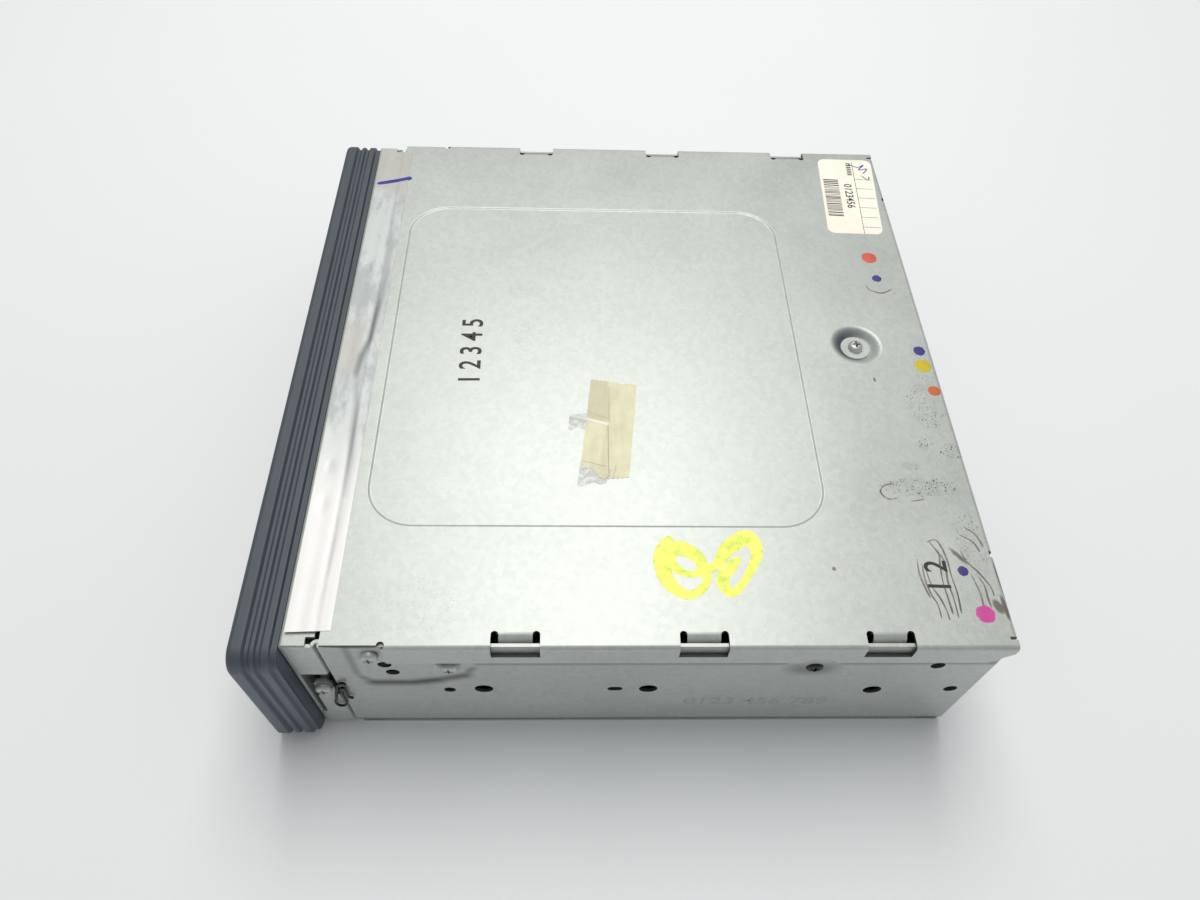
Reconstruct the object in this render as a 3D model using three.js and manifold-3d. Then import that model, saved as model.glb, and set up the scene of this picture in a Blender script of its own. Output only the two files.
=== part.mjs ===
// Single-height dashboard disc player, in millimetres, +Z up.
// The front bezel faces -Y. Inside the unit, y = 0 is the front edge of the top cover.
// The finished group is moved along Y so that its origin is the centre of its underside.

import * as THREE from 'three';
import { mergeVertices } from 'three/addons/utils/BufferGeometryUtils.js';
import Module from 'manifold-3d';

const wasm = await Module();
wasm.setup();

// Sheet and clearances
const sheet = 0.8;
const fit = 0.3;
const overrun = 2;
const half = 0.5;

// Heights of the inside, from the underside up: board, deck, disc, clamp arm, lid
const boardBottom = 4;
const boardThickness = 1.6;
const motorSpace = 14.4;
const deckPlateThickness = 1;
const turntableHeight = 6.5;
const railHeight = 17;
const clampArmGap = 1.1;
const clampArmThickness = 1;
const clampCrossRise = 1.8;
const lidClearance = 7;

const boardTop = boardBottom + boardThickness;
const deckUnder = boardTop + motorSpace;
const deckPlateTop = deckUnder + deckPlateThickness;
const turntableTop = deckPlateTop + turntableHeight;
const railTop = deckPlateTop + railHeight;
const guideBottom = railTop + fit;
const guideTop = guideBottom + sheet;
const clampArmZ = guideTop + clampArmGap;
const armTop = clampArmZ + clampArmThickness;
const lidUnder = armTop + clampCrossRise + lidClearance;
const caseHeight = lidUnder + sheet;

// Widths of the inside, from the disc out: rails, rubber dampers, walls
const discRadius = 60;
const railMargin = 11;
const damperLength = 15.5;

const railHalfWidth = discRadius + railMargin;
const wallInner = railHalfWidth + fit + damperLength + fit;
const wallOuter = wallInner + sheet;
const lidHalfWidth = wallOuter + fit + sheet;
const earOuter = wallInner - fit;
const earInner = earOuter - sheet;

// Lengths of the inside, from the front edge of the top cover back: roller, spindle, clamp pivot, rear wall
const rollerY = 3;
const rollerToDisc = 5;
const clampReach = 71;
const railBehindPivot = 8;
const deckRearGap = 7.4;

const spindleY = rollerY + rollerToDisc + discRadius;
const clampPivotY = spindleY + clampReach;
const railRear = clampPivotY + railBehindPivot;
const rearInner = railRear + deckRearGap;
const rearOuter = rearInner + sheet;
const lidLength = rearOuter + fit + sheet;

const wallTop = lidUnder - fit;
const wallBottom = sheet + fit;

// Top cover
const lidCornerFront = 13.4;
const lidFlatInset = 1;
const flangeDepth = 8;
const rearFlangeDepth = 7.3;
const flangeChamfer = 5;
const bendRadius = 1.2;
const reliefRadius = 0.9;
const clipWidth = 11;
const clipFirst = 37.4;
const clipPitch = 42.1;
const clipCount = 3;
const clipSlotWidth = 1.7;
const clipSlotInset = 4.4;
const clipWindowDepth = 4.5;
const clipTongueDrop = 5.8;
const panelInset = 31;
const panelFront = 5;
const panelRearInset = 37.9;
const panelCorner = 12;
const panelDepth = 0.4;
const dimpleX = -2;
const dimpleRearInset = 20.9;
const dimpleRadius = 6.75;
const dimpleFlatRadius = 3.9;
const dimpleDepth = 2;
const lidNotchInset = 24.1;
const lidNotchWidth = 1.6;

const flangeBottom = caseHeight - flangeDepth;
const rearFlangeBottom = caseHeight - rearFlangeDepth;
const clipWindowBottom = caseHeight - clipWindowDepth;
const panelHalfWidth = lidHalfWidth - panelInset;
const panelRear = lidLength - panelRearInset;
const dimpleY = lidLength - dimpleRearInset;
const lidNotchX = lidHalfWidth - lidNotchInset;

// Screws
const screwShankRadius = 1.2;
const screwShankLength = 4.6;
const screwHeadRadius = 2.6;
const screwHeadHeight = 1.6;
const screwHoleRadius = screwShankRadius + fit;
const smallScrewHeadRadius = 2.1;
const screwRimShare = 0.86;
const screwEdgeShare = 0.8;

// Side plates: places along y from the front, and along z from the underside or down from the wall's top
const wallFront = -0.6;
const wallLip = 8;
const mountHoleRadius = 2.3;
const mountHoleY = [34.1, 74.4, 130.5];
const mountHoleZ = [23.8, 23.6, 22.5];
const smallHoleRadius = 1.6;
const frontHoleY = 25.8;
const rearHoleInset = 6.2;
const lowHoleZ = 23.2;
const padHoleY = [12.9, 14.5];
const padHoleDrop = [11.5, 15.5];
const flangeHoleInset = 14.6;
const flangeHoleDrop = 10.8;
const slotHoleY = 66.2;
const slotHoleZ = 23.6;
const slotHoleLength = 3.7;
const slotHoleHeight = 2.4;
const padFront = 6;
const padRear = 29.5;
const padDrop = 16.5;
const padRise = 2.8;
const padFall = 14;
const padHeight = 0.9;
const padSlope = 3.2;
const padScrewY = 10.2;
const padScrewDrop = 7.3;
const recessScrewY = 27.2;
const recessScrewDrop = 11.1;
const recessWidth = 5;
const recessHeight = 5;
const bossY = 112.2;
const bossDrop = 10.9;
const bossRadius = 5.8;
const bossFlatRadius = 3;
const bossHeight = 0.9;
const bossStretchShare = 1.3;
const cornerCutLength = 4;
const cornerCutHeight = 3;
const cornerCutInset = 1.6;

const mountHoles = mountHoleY.map((y, i) => [y, mountHoleZ[i]]);
const smallHoles = [
  [frontHoleY, lowHoleZ],
  [lidLength - rearHoleInset, lowHoleZ],
  [padHoleY[0], wallTop - padHoleDrop[0]],
  [padHoleY[1], wallTop - padHoleDrop[1]],
  [lidLength - flangeHoleInset, wallTop - flangeHoleDrop],
];
const padBottom = wallTop - padDrop;
const padScrew = [padScrewY, wallTop - padScrewDrop];
const recessScrew = [recessScrewY, wallTop - recessScrewDrop];
const bossScrew = [bossY, wallTop - bossDrop];

// Bottom cover
const boardPostRadius = 3;
const ventLength = 26;
const ventWidth = 3;
const ventPitch = 9;
const ventCount = 5;
const ventX = 48;
const ventY = 60;

// Rear panel and what it carries
const tabMargin = 7;
const tabWidth = 16;
const earReach = 50;
const earDrop = 16.7;
const earAboveFlange = 1;
const socketX = 41;
const socketWidth = 42;
const socketHeight = 22;
const socketDepth = 14;
const socketProud = 6;
const socketWall = 2;
const socketCavityDepth = 10;
const antennaZ = 17;
const antennaRadius = 6.5;
const antennaBoreRadius = 4.6;
const antennaProud = 6;
const antennaCollarRadius = 8.5;
const antennaCollarLength = 2;
const antennaCavityDepth = 9;
const antennaFromFuse = 24;
const fuseFromSink = 7.4;
const fuseZ = 15;
const fuseWidth = 19;
const fuseThickness = 5;
const fuseProud = 5;
const fuseInside = 8;
const fuseBladeWidth = 5;
const fuseBladeThickness = 0.7;
const fuseBladeLength = 5;
const sinkInset = 3;
const sinkWidth = 30;
const sinkBottom = 5;
const sinkTop = 32;
const sinkBaseThickness = 2.2;
const sinkFinHeight = 6.3;
const sinkFinWidth = 1.4;
const sinkFinCount = 6;

const earBottom = wallTop - earDrop;
const earTop = flangeBottom + earAboveFlange;
const sinkRight = -wallOuter + sinkInset + sinkWidth;
const fuseX = sinkRight + fuseFromSink + fuseWidth * half;
const antennaX = fuseX + antennaFromFuse;

// Disc slot, just above the turntable
const slotRise = 1.4;
const discSlotHeight = 5.6;
const slotMargin = 2;

const discSlotHalfWidth = discRadius + slotMargin;
const discSlotBottom = turntableTop + slotRise;
const discSlotTop = discSlotBottom + discSlotHeight;

// Front subframe and the gap beside it
const subframeFront = -9;
const subframeRise = 0.1;
const subframeRearGap = 1.3;
const windowMarginBeside = 4.5;
const windowMarginBelow = 1.9;
const windowMarginAbove = 3.7;
const upperFlangeDrop = 16.3;
const upperFlangeReach = 31;
const lowerFlangeTop = 20;
const lowerFlangeFront = -7;
const lowerFootTop = 8;
const lowerFlangeReach = 6;
const joggleLength = 0.8;
const screwTabWidth = 4.2;
const screwTabTop = 28.6;
const bracketScrewZ = 26;
const bracketScrewY = -4.1;
const cornerNotch = 2;
const springFront = -3;
const springWidth = 4.7;
const springBottom = 13.9;
const springHeight = 15.5;
const springWireRadius = 0.35;
const springRouteShares = [
  [0.98, 0.95], [0.85, 1], [0.66, 0.95], [0.43, 0.79], [0.15, 0.39], [0, 0.06], [0.19, 0], [0.53, 0.14],
  [0.56, 0.3], [0.57, 0.53], [0.62, 0.75], [0.73, 0.8], [0.82, 0.73], [0.8, 0.53], [0.86, 0.39], [1, 0.36],
];
const springSteps = 46;
const springSides = 6;

const subframeTop = lidUnder + subframeRise;
const windowHalfWidth = discSlotHalfWidth + windowMarginBeside;
const upperFlangeBottom = wallTop - upperFlangeDrop;

// Bezel
const bezelOverhang = 3.4;
const bezelDrop = 1.4;
const bezelFront = -20.5;
const bezelGap = 0.5;
const bezelCorner = 5;
const bezelWall = 3.2;
const bezelSegmentsPerCorner = 5;
const bezelEdge = 1.1;
const bezelEdgeShare = 0.3;
const ribDepth = 0.9;
const ribGrooveShares = [0.40, 0.63, 0.87];
const ribHalfGrooveShare = 0.085;
const bezelWebThickness = 2;
const bezelWebInset = 8.4;
const bezelWebMargin = 6;

const bezelHalfWidth = lidHalfWidth + bezelOverhang;
const bezelHeight = caseHeight - bezelDrop;

// Fascia
const fasciaRecess = 1.2;
const fasciaThickness = 2.5;
const buttonFromSlot = 12;
const buttonWidth = 12;
const buttonHeight = 7;
const buttonProud = 0.9;
const buttonFlange = 0.8;
const buttonFlangeDepth = 0.9;
const buttonTravel = 1;
const buttonStop = 0.4;
const lensZ = 20;
const lensRadius = 1.5;
const lensProud = 0.2;
const frontBoardGap = fit + buttonFlangeDepth + buttonTravel + buttonStop;
const frontBoardThickness = 1.6;
const frontBoardBottom = 8;
const frontBoardTop = 26;
const frontBoardLeft = -40;
const frontBoardBesideButton = 10;
const frontBoardWingGap = 5.5;
const frontBoardWingTop = 38;
const frontBossRadius = 2;
const frontBossX = 34;
const flapThickness = 0.8;
const flapBarrelRadius = 0.9;
const flapPinRadius = 0.8;
const flapLap = 0.6;
const flapPivotRise = 1.7;
const flapPivotGap = 2.2;
const flapEarWidth = 2;
const flapEarHalf = 2;
const flapPinReach = 2.4;

const buttonX = discSlotHalfWidth + buttonFromSlot;
const frontBoardRight = buttonX + frontBoardBesideButton;
const frontBoardWingLeft = discSlotHalfWidth + frontBoardWingGap;

// Main board
const boardInset = 2;
const boardFront = 6;
const boardRearGap = 2.4;
const boardPostInsetX = 7;
const boardPostInset = 8;
const capacitorInset = 21;
const capacitorY = 118;
const capacitorRadius = 6.3;
const capacitorHeight = 12.6;
const cableInset = 19;
const cableWidth = 16;
const cableY = 62;
const cableRun = 12;
const cableThickness = 0.5;

const boardHalfWidth = railHalfWidth - boardInset;
const boardRear = rearInner - boardRearGap;
const boardPostX = boardHalfWidth - boardPostInsetX;
const capacitorX = -railHalfWidth + capacitorInset;
const cableX = -railHalfWidth + cableInset;

// Deck
const railFront = -2;
const guidePlateFront = 18;
const guidePlateInset = 1;
const guideSlotHalfWidth = 17;
const guideSlotAhead = 18;
const guideSlotBehind = 5.5;
const spindleHoleRadius = 9;
const damperRadius = 5;
const damperWaistRadius = 3.2;
const damperRim = 4;
const damperRise = 6;
const damperFrontY = 52;
const damperRearInset = 6;
const rodTabThickness = 1.2;
const rodTabDrop = 8.4;
const rodTabHalfWidth = 4;

const guidePlateRear = railRear - guidePlateInset;
const guideSlotFront = spindleY - guideSlotAhead;
const guideSlotRear = clampPivotY - guideSlotBehind;
const damperZ = deckPlateTop + damperRise;
const damperRearY = railRear - damperRearInset;

// Spindle and clamp
const spindleMotorRadius = 12;
const spindleMotorHeight = 5.5;
const spindleShaftRadius = 1;
const turntableRadius = 15;
const turntableThickness = 2;
const turntableNoseRadius = 7.4;
const turntableNoseHeight = 1.7;
const turntableNoseChamfer = 1.5;
const turntableHubRadius = 4;
const clamperRadius = 13;
const clamperDrop = 5.6;
const clamperThickness = 2;
const clamperNeckRadius = 5;
const clamperCapRadius = 8;
const clamperCapThickness = 1;
const clampArmHalfWidth = 12;
const clampArmAhead = 13;
const clampPinRadius = 1;
const clampHubGap = 0.6;
const clampCrossBehind = 34;
const clampCrossWidth = 6;
const clampFingerWidth = 1.8;
const clampEarWidth = 1.2;
const clampEarLength = 6;
const clampEarHeight = 4;
const sliderThickness = 2;
const sliderAhead = 2;
const sliderBehind = 58;
const sliderRise = 9;
const sliderRampRun = 11;
const sliderRampDrop = 3.3;

const clamperBottom = clampArmZ - clamperDrop;
const clampArmFront = spindleY - clampArmAhead;
const clampCrossY = spindleY + clampCrossBehind;
const sliderFront = spindleY - sliderAhead;
const sliderRear = spindleY + sliderBehind;
const sliderBottom = deckPlateTop + sliderRise;

// Feed roller and its gear train
const rollerDrop = 1;
const rollerRadius = 3.5;
const rollerTaper = 0.3;
const rollerShaftRadius = 1.5;
const rollerShaftLeftReach = 6;
const rollerShaftRightReach = 2;
const toothModuleLength = 0.8;
const rollerTeeth = 16;
const idlerTeeth = 30;
const pinionTeeth = 10;
const idlerDirection = -20 * Math.PI / 180;
const pressureAngle = 20 * Math.PI / 180;
const toothThicknessShare = 0.84;
const addendumShare = 0.8;
const dedendumShare = 1.2;
const gearWidth = 3;
const gearSideGap = 1.5;
const stubRadius = 1.6;
const stubProud = 0.6;
const motorRadius = 5.8;
const motorLength = 19;
const motorShaftRadius = 1;
const motorShaftDepth = 4;
const gearTabFront = 15;
const gearTabMargin = 6.5;
const gearTabDrop = 10.4;

const rollerZ = turntableTop - rollerDrop;
const rollerHalfLength = discRadius;
const rollerShaftLeft = railHalfWidth + rollerShaftLeftReach;
const rollerShaftRight = railHalfWidth + rollerShaftRightReach;

// Pinch bar
const pinchFromRoller = 11;
const pinchPivotDrop = 2;
const pinchPinRadius = 1;
const pinchBarrelRadius = 1.8;
const pinchLipGap = 1;
const pinchLipHalf = 1.6;
const pinchThickness = 1.6;

const pinchPivotY = rollerY + pinchFromRoller;
const pinchPivotZ = railTop - pinchPivotDrop;
const pinchHalfLength = discRadius;

// Pickup
const rodRadius = 1.5;
const rodX = 20;
const rodDrop = 5.3;
const screwX = 30;
const leadRadius = 1.5;
const leadCoreRadius = 1;
const leadPitch = 6;
const leadStepsPerTurn = 5;
const leadSides = 6;
const sledLength = 22;
const sledFrontGap = 3.4;
const sledTravel = 34;
const sledEndGap = 0.9;
const sledDrop = 8.4;
const sledRise = 1;
const sledLeft = -24;
const sledRight = 34;
const sledWindowMargin = 2;
const towerSize = 11;
const towerRise = 4;
const lensRiseGap = 0.7;
const pickupLensRadius = 2.3;
const pickupLensHeight = 0.8;
const pickupLensRim = 0.25;
const pickupLensCrownRadius = 1.4;
const pickupLensDome = 0.15;
const sledMotorRadius = 5;
const sledMotorLength = 13;

const rodZ = deckUnder - rodDrop;
const sledBottom = deckUnder - sledDrop;
const sledTop = deckPlateTop + sledRise;
const towerTop = deckPlateTop + towerRise;
const sledWindowLeft = sledLeft - sledWindowMargin;
const sledWindowRight = sledRight + sledWindowMargin;

// Tapes and label on the lid: the foil along the front edge, the others by their corners
const tapeThickness = 0.2;
const foilInset = 4;
const foilFront = -8;
const foilRear = 2.3;
const clearCorners = [[11.4, 60.3], [14.7, 72.6], [43.7, 69], [44.4, 56.8]];
const labelInsetCorners = [[3.6, 19], [4.1, 1], [41.1, 4], [40.5, 21.3]];

const foilHalfWidth = lidHalfWidth - foilInset;
const labelCorners = labelInsetCorners.map(([x, y]) => [-lidHalfWidth + x, lidLength - y]);

// Roundness
const smallSides = 10;
const holeSides = 12;
const roundSides = 18;
const bigRoundSides = 20;
const cornerSteps = 4;

// Colours
const zinc = 0xcdd4d0;
const zincShade = 0xaab0ad;
const black = 0x1b1c1e;

const finish = (color, roughness, metalness) => (
  new THREE.MeshStandardMaterial({ color, roughness, metalness }));

// Closed mesh geometry to a solid and back
function solid(geometry) {
  const bare = geometry.clone();
  bare.deleteAttribute('normal');
  bare.deleteAttribute('uv');
  const welded = mergeVertices(bare, 1e-4);
  return new wasm.Manifold(new wasm.Mesh({
    numProp: 3,
    vertProperties: new Float32Array(welded.attributes.position.array),
    triVerts: new Uint32Array(welded.index.array),
  }));
}

function geometryOf(body) {
  const mesh = body.getMesh();
  const geometry = new THREE.BufferGeometry();
  geometry.setAttribute('position', new THREE.BufferAttribute(new Float32Array(mesh.vertProperties), 3));
  geometry.setIndex(new THREE.BufferAttribute(new Uint32Array(mesh.triVerts), 1));
  geometry.computeVertexNormals();
  return geometry;
}

const joined = (...geometries) => geometries.map(solid).reduce((all, next) => all.add(next));
const without = (body, ...geometries) => geometries.map(solid)
  .reduce((left, tool) => left.subtract(tool), body);

// Box between two planes on each axis
function block(x0, x1, y0, y1, z0, z1) {
  const geometry = new THREE.BoxGeometry(x1 - x0, y1 - y0, z1 - z0);
  geometry.translate((x0 + x1) * half, (y0 + y1) * half, (z0 + z1) * half);
  return geometry;
}

// Outline extruded along z (points x, y), along x (points y, z) or along y (points x, z)
const alongX = new THREE.Matrix4().makeBasis(
  new THREE.Vector3(0, 1, 0), new THREE.Vector3(0, 0, 1), new THREE.Vector3(1, 0, 0));
const alongY = new THREE.Matrix4().makeBasis(
  new THREE.Vector3(1, 0, 0), new THREE.Vector3(0, 0, 1), new THREE.Vector3(0, -1, 0));

function plateZ(shape, z0, z1) {
  const geometry = new THREE.ExtrudeGeometry(shape,
    { depth: z1 - z0, bevelEnabled: false, curveSegments: cornerSteps });
  return geometry.translate(0, 0, z0);
}

function plateX(shape, x0, x1) {
  const geometry = new THREE.ExtrudeGeometry(shape,
    { depth: x1 - x0, bevelEnabled: false, curveSegments: cornerSteps });
  return geometry.applyMatrix4(alongX).translate(x0, 0, 0);
}

function plateY(shape, y0, y1) {
  const geometry = new THREE.ExtrudeGeometry(shape,
    { depth: y1 - y0, bevelEnabled: false, curveSegments: cornerSteps });
  return geometry.applyMatrix4(alongY).translate(0, y1, 0);
}

const outline = points => new THREE.Shape(points.map(([u, v]) => new THREE.Vector2(u, v)));

function roundedRectangle(u0, u1, v0, v1, radius) {
  const shape = new THREE.Shape();
  shape.moveTo(u0 + radius, v0);
  shape.lineTo(u1 - radius, v0);
  shape.absarc(u1 - radius, v0 + radius, radius, -Math.PI / 2, 0, false);
  shape.lineTo(u1, v1 - radius);
  shape.absarc(u1 - radius, v1 - radius, radius, 0, Math.PI / 2, false);
  shape.lineTo(u0 + radius, v1);
  shape.absarc(u0 + radius, v1 - radius, radius, Math.PI / 2, Math.PI, false);
  shape.lineTo(u0, v0 + radius);
  shape.absarc(u0 + radius, v0 + radius, radius, Math.PI, Math.PI * 1.5, false);
  return shape;
}

// Round bars along each axis, between two planes
function barX(radius, x0, x1, y, z, sides = holeSides) {
  const geometry = new THREE.CylinderGeometry(radius, radius, x1 - x0, sides);
  return geometry.rotateZ(-Math.PI / 2).translate((x0 + x1) * half, y, z);
}

function barY(radius, y0, y1, x, z, sides = holeSides) {
  const geometry = new THREE.CylinderGeometry(radius, radius, y1 - y0, sides);
  return geometry.translate(x, (y0 + y1) * half, z);
}

function barZ(radius, z0, z1, x, y, sides = holeSides) {
  const geometry = new THREE.CylinderGeometry(radius, radius, z1 - z0, sides);
  return geometry.rotateX(Math.PI / 2).translate(x, y, (z0 + z1) * half);
}

// Body of revolution about +Z, from [radius, height] points
function turned(profile, sides = roundSides) {
  const points = profile.map(([radius, height]) => new THREE.Vector2(radius, height));
  return new THREE.LatheGeometry(points, sides).rotateX(Math.PI / 2);
}

const unit = new THREE.Group();

function piece(name, geometry, material, parent = unit) {
  const mesh = new THREE.Mesh(geometry, material);
  mesh.name = name;
  parent.add(mesh);
  return mesh;
}

const sides = [['right', 1], ['left', -1]];
const span = (sign, inner, outer) => (sign > 0 ? [inner, outer] : [-outer, -inner]);

// Radius of the boss where it passes the cover's flange, with clearance
const bossDepth = bossHeight + sheet * half;
const bossNotchRadius = bossRadius - (bossRadius - bossFlatRadius) * (sheet * half + fit) / bossDepth + fit;

// Top cover: plate, folded flanges, clips, raised-edge panel and screw dimple
const clipStarts = Array.from({ length: clipCount }, (_, i) => clipFirst + i * clipPitch);
const dimpleFloor = caseHeight - dimpleDepth;

function topCoverProfile() {
  const shape = new THREE.Shape();
  const inner = lidHalfWidth - sheet;
  shape.moveTo(lidHalfWidth, flangeBottom);
  shape.lineTo(lidHalfWidth, caseHeight - bendRadius);
  shape.absarc(lidHalfWidth - bendRadius, caseHeight - bendRadius, bendRadius, 0, Math.PI / 2, false);
  shape.lineTo(-lidHalfWidth + bendRadius, caseHeight);
  shape.absarc(-lidHalfWidth + bendRadius, caseHeight - bendRadius, bendRadius, Math.PI / 2, Math.PI, false);
  shape.lineTo(-lidHalfWidth, flangeBottom);
  shape.lineTo(-inner, flangeBottom);
  shape.lineTo(-inner, lidUnder);
  shape.lineTo(inner, lidUnder);
  shape.lineTo(inner, flangeBottom);
  return shape;
}

function clipParts(sign, start) {
  const end = start + clipWidth;
  const slotInner = lidHalfWidth - clipSlotInset;
  const outside = lidHalfWidth + overrun;
  const roof = caseHeight + overrun;
  const [sx0, sx1] = span(sign, slotInner, outside);
  const [wx0, wx1] = span(sign, earOuter, outside);
  const [tx0, tx1] = span(sign, earInner, earOuter);
  const below = lidUnder - overrun;
  return {
    cuts: [
      block(sx0, sx1, start, start + clipSlotWidth, below, roof),
      block(sx0, sx1, end - clipSlotWidth, end, below, roof),
      block(wx0, wx1, start, end, clipWindowBottom, roof),
    ],
    tongue: block(tx0, tx1, start + clipSlotWidth, end - clipSlotWidth, lidUnder - clipTongueDrop,
      lidUnder + sheet * half),
  };
}

function topCover() {
  let body = joined(
    plateY(topCoverProfile(), lidCornerFront, lidLength),
    block(-lidHalfWidth + lidFlatInset, lidHalfWidth - lidFlatInset, 0, lidCornerFront + sheet, lidUnder,
      caseHeight),
    block(-earInner, earInner, lidLength - sheet, lidLength, rearFlangeBottom, lidUnder + sheet * half),
    plateZ(roundedRectangle(-panelHalfWidth - sheet, panelHalfWidth + sheet, panelFront - sheet,
      panelRear + sheet,
      panelCorner), lidUnder - panelDepth, lidUnder + sheet * half),
    turned([[0, dimpleFloor - sheet], [dimpleFlatRadius + sheet, dimpleFloor - sheet],
      [dimpleRadius + sheet, lidUnder], [dimpleRadius + sheet, lidUnder + sheet * half],
        [0, lidUnder + sheet * half]])
      .translate(dimpleX, dimpleY, 0),
  );
  body = without(
    body,
    plateZ(roundedRectangle(-panelHalfWidth, panelHalfWidth, panelFront, panelRear, panelCorner),
      caseHeight - panelDepth, caseHeight + overrun),
    turned([[0, dimpleFloor], [dimpleFlatRadius, dimpleFloor], [dimpleRadius, caseHeight],
      [dimpleRadius, caseHeight + overrun], [0, caseHeight + overrun]]).translate(dimpleX, dimpleY, 0),
    barZ(screwHoleRadius, dimpleFloor - sheet - overrun, caseHeight, dimpleX, dimpleY, smallSides),
  );
  for (const [, sign] of sides) {
    const [fx0, fx1] = span(sign, earInner, lidHalfWidth + overrun);
    body = without(
      body,
      barZ(reliefRadius, lidUnder - overrun, caseHeight + overrun, sign * (lidHalfWidth - lidFlatInset),
        lidCornerFront),
      barX(bossNotchRadius, fx0, fx1, 0, 0, roundSides).scale(1, 1, bossStretchShare)
        .translate(0, bossScrew[0], bossScrew[1]),
      plateX(outline([[lidLength - flangeChamfer, flangeBottom - overrun],
        [lidLength + overrun, flangeBottom - overrun],
          [lidLength + overrun, flangeBottom + flangeChamfer]]), fx0, fx1),
      block(sign * lidNotchX - lidNotchWidth * half, sign * lidNotchX + lidNotchWidth * half,
        lidLength - sheet - fit, lidLength + overrun, rearFlangeBottom - overrun, caseHeight + overrun),
    );
    for (const start of clipStarts) {
      const { cuts, tongue } = clipParts(sign, start);
      body = without(body, ...cuts).add(solid(tongue));
    }
  }
  return geometryOf(body);
}

piece('top_cover', topCover(), finish(zinc, 0.45, 0.85));

// Bottom cover: flat pressing with board posts and vents
const boardPosts = [[boardPostX, boardFront + boardPostInset], [boardPostX, boardRear - boardPostInset],
  [-boardPostX, boardFront + boardPostInset], [-boardPostX, boardRear - boardPostInset]];

function bottomCover() {
  let body = joined(
    block(-wallOuter, wallOuter, 0, rearOuter, 0, sheet),
    ...boardPosts.map(([x, y]) => barZ(boardPostRadius, sheet * half, boardBottom - fit, x, y, smallSides)),
  );
  for (let i = 0; i < ventCount; i += 1) {
    const y = ventY + (i - (ventCount - 1) * half) * ventPitch;
    for (const x of [-ventX, ventX]) {
      body = without(body, block(x - ventLength * half, x + ventLength * half,
        y - ventWidth * half, y + ventWidth * half, -overrun, sheet + overrun));
    }
  }
  return geometryOf(body);
}

piece('bottom_cover', bottomCover(), finish(zincShade, 0.5, 0.85));

// Side plates: wall with a turned-in lip, a raised pad, a screw boss and holes
const padShoulder = flangeBottom - fit - padSlope * half;
const padStep = lidCornerFront - fit - padSlope * half;

function padOutline(grow) {
  return outline([
    [padFront - grow, wallTop + grow],
    [padFront - grow, padBottom - grow],
    [padFront + padFall, padBottom - grow],
    [padRear + grow, padBottom + padRise - grow],
    [padRear + grow, padShoulder + grow],
    [padStep + grow, padShoulder + grow],
    [padStep + grow, wallTop + grow],
  ]);
}

// Slanted pad: the outline at the wall is wider than the outline at its face
function padBlock(face, grow) {
  const wide = padOutline(padSlope * half + grow).getPoints();
  const tight = padOutline(grow).getPoints();
  const depth = padHeight + sheet * half;
  const geometry = plateX(padOutline(grow), 0, depth);
  const place = geometry.attributes.position;
  for (let i = 0; i < place.count; i += 1) {
    if (place.getX(i) > depth * half) continue;
    const corner = tight.findIndex(point => Math.hypot(point.x - place.getY(i),
      point.y - place.getZ(i)) < fit * half);
    place.setY(i, wide[corner].x);
    place.setZ(i, wide[corner].y);
  }
  return geometry.translate(face - depth, 0, 0);
}

function bossCone(face, grow) {
  const cone = turned([[0, 0], [bossRadius + grow, 0], [bossFlatRadius + grow, bossDepth], [0, bossDepth]]);
  return cone.rotateY(Math.PI / 2).scale(1, 1, bossStretchShare)
    .translate(face - bossDepth, bossScrew[0], bossScrew[1]);
}

function sidePlateRight() {
  const top = wallTop;
  const out = wallOuter + overrun;
  const inn = wallInner - overrun;
  let body = joined(
    block(wallInner, wallOuter, wallFront, rearOuter, wallBottom, top),
    block(wallInner - wallLip, wallInner + sheet * half, lowerFlangeReach + fit, rearInner - fit,
      wallBottom, wallBottom + sheet),
  );
  body = body.add(solid(padBlock(wallOuter + padHeight, 0))).add(solid(bossCone(wallOuter + bossHeight, 0)));
  body = body.subtract(solid(padBlock(wallInner + padHeight, -sheet * half)));
  body = body.subtract(solid(bossCone(wallInner + bossHeight, -sheet * half)));
  body = without(
    body,
    block(inn, out, padFront - padSlope, padRear + padSlope, top, top + overrun + padSlope),
    ...mountHoles.map(([y, z]) => barX(mountHoleRadius, inn, out, y, z)),
    ...smallHoles.map(([y, z]) => barX(smallHoleRadius, inn, out, y, z, smallSides)),
    block(inn, out, slotHoleY - slotHoleLength * half, slotHoleY + slotHoleLength * half,
      slotHoleZ - slotHoleHeight * half, slotHoleZ + slotHoleHeight * half),
    block(wallOuter + fit, out, recessScrew[0] - recessWidth * half, recessScrew[0] + recessWidth * half,
      recessScrew[1] - recessHeight * half, recessScrew[1] + recessHeight * half),
    ...[padScrew, recessScrew, bossScrew].map(([y, z]) => barX(screwHoleRadius, inn, out, y, z, smallSides)),
    block(wallInner - wallLip - overrun, wallInner - cornerCutInset, rearInner - cornerCutLength, rearOuter,
      wallBottom - overrun, wallBottom + cornerCutHeight),
  );
  return body;
}

const mirrorX = geometry => {
  const flipped = geometry.clone().scale(-1, 1, 1);
  const index = flipped.index.array;
  for (let i = 0; i < index.length; i += 3) {
    const kept = index[i];
    index[i] = index[i + 1];
    index[i + 1] = kept;
  }
  flipped.computeVertexNormals();
  return flipped;
};

const rightWall = geometryOf(sidePlateRight());
piece('side_plate_right', rightWall, finish(zincShade, 0.5, 0.85));
piece('side_plate_left', mirrorX(rightWall), finish(zincShade, 0.5, 0.85));

// Rear panel: wall with cut-outs, a top tab under the lid screw and two side ears
const socketBottom = boardTop + fit;
const socketTop = socketBottom + socketHeight;

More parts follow.
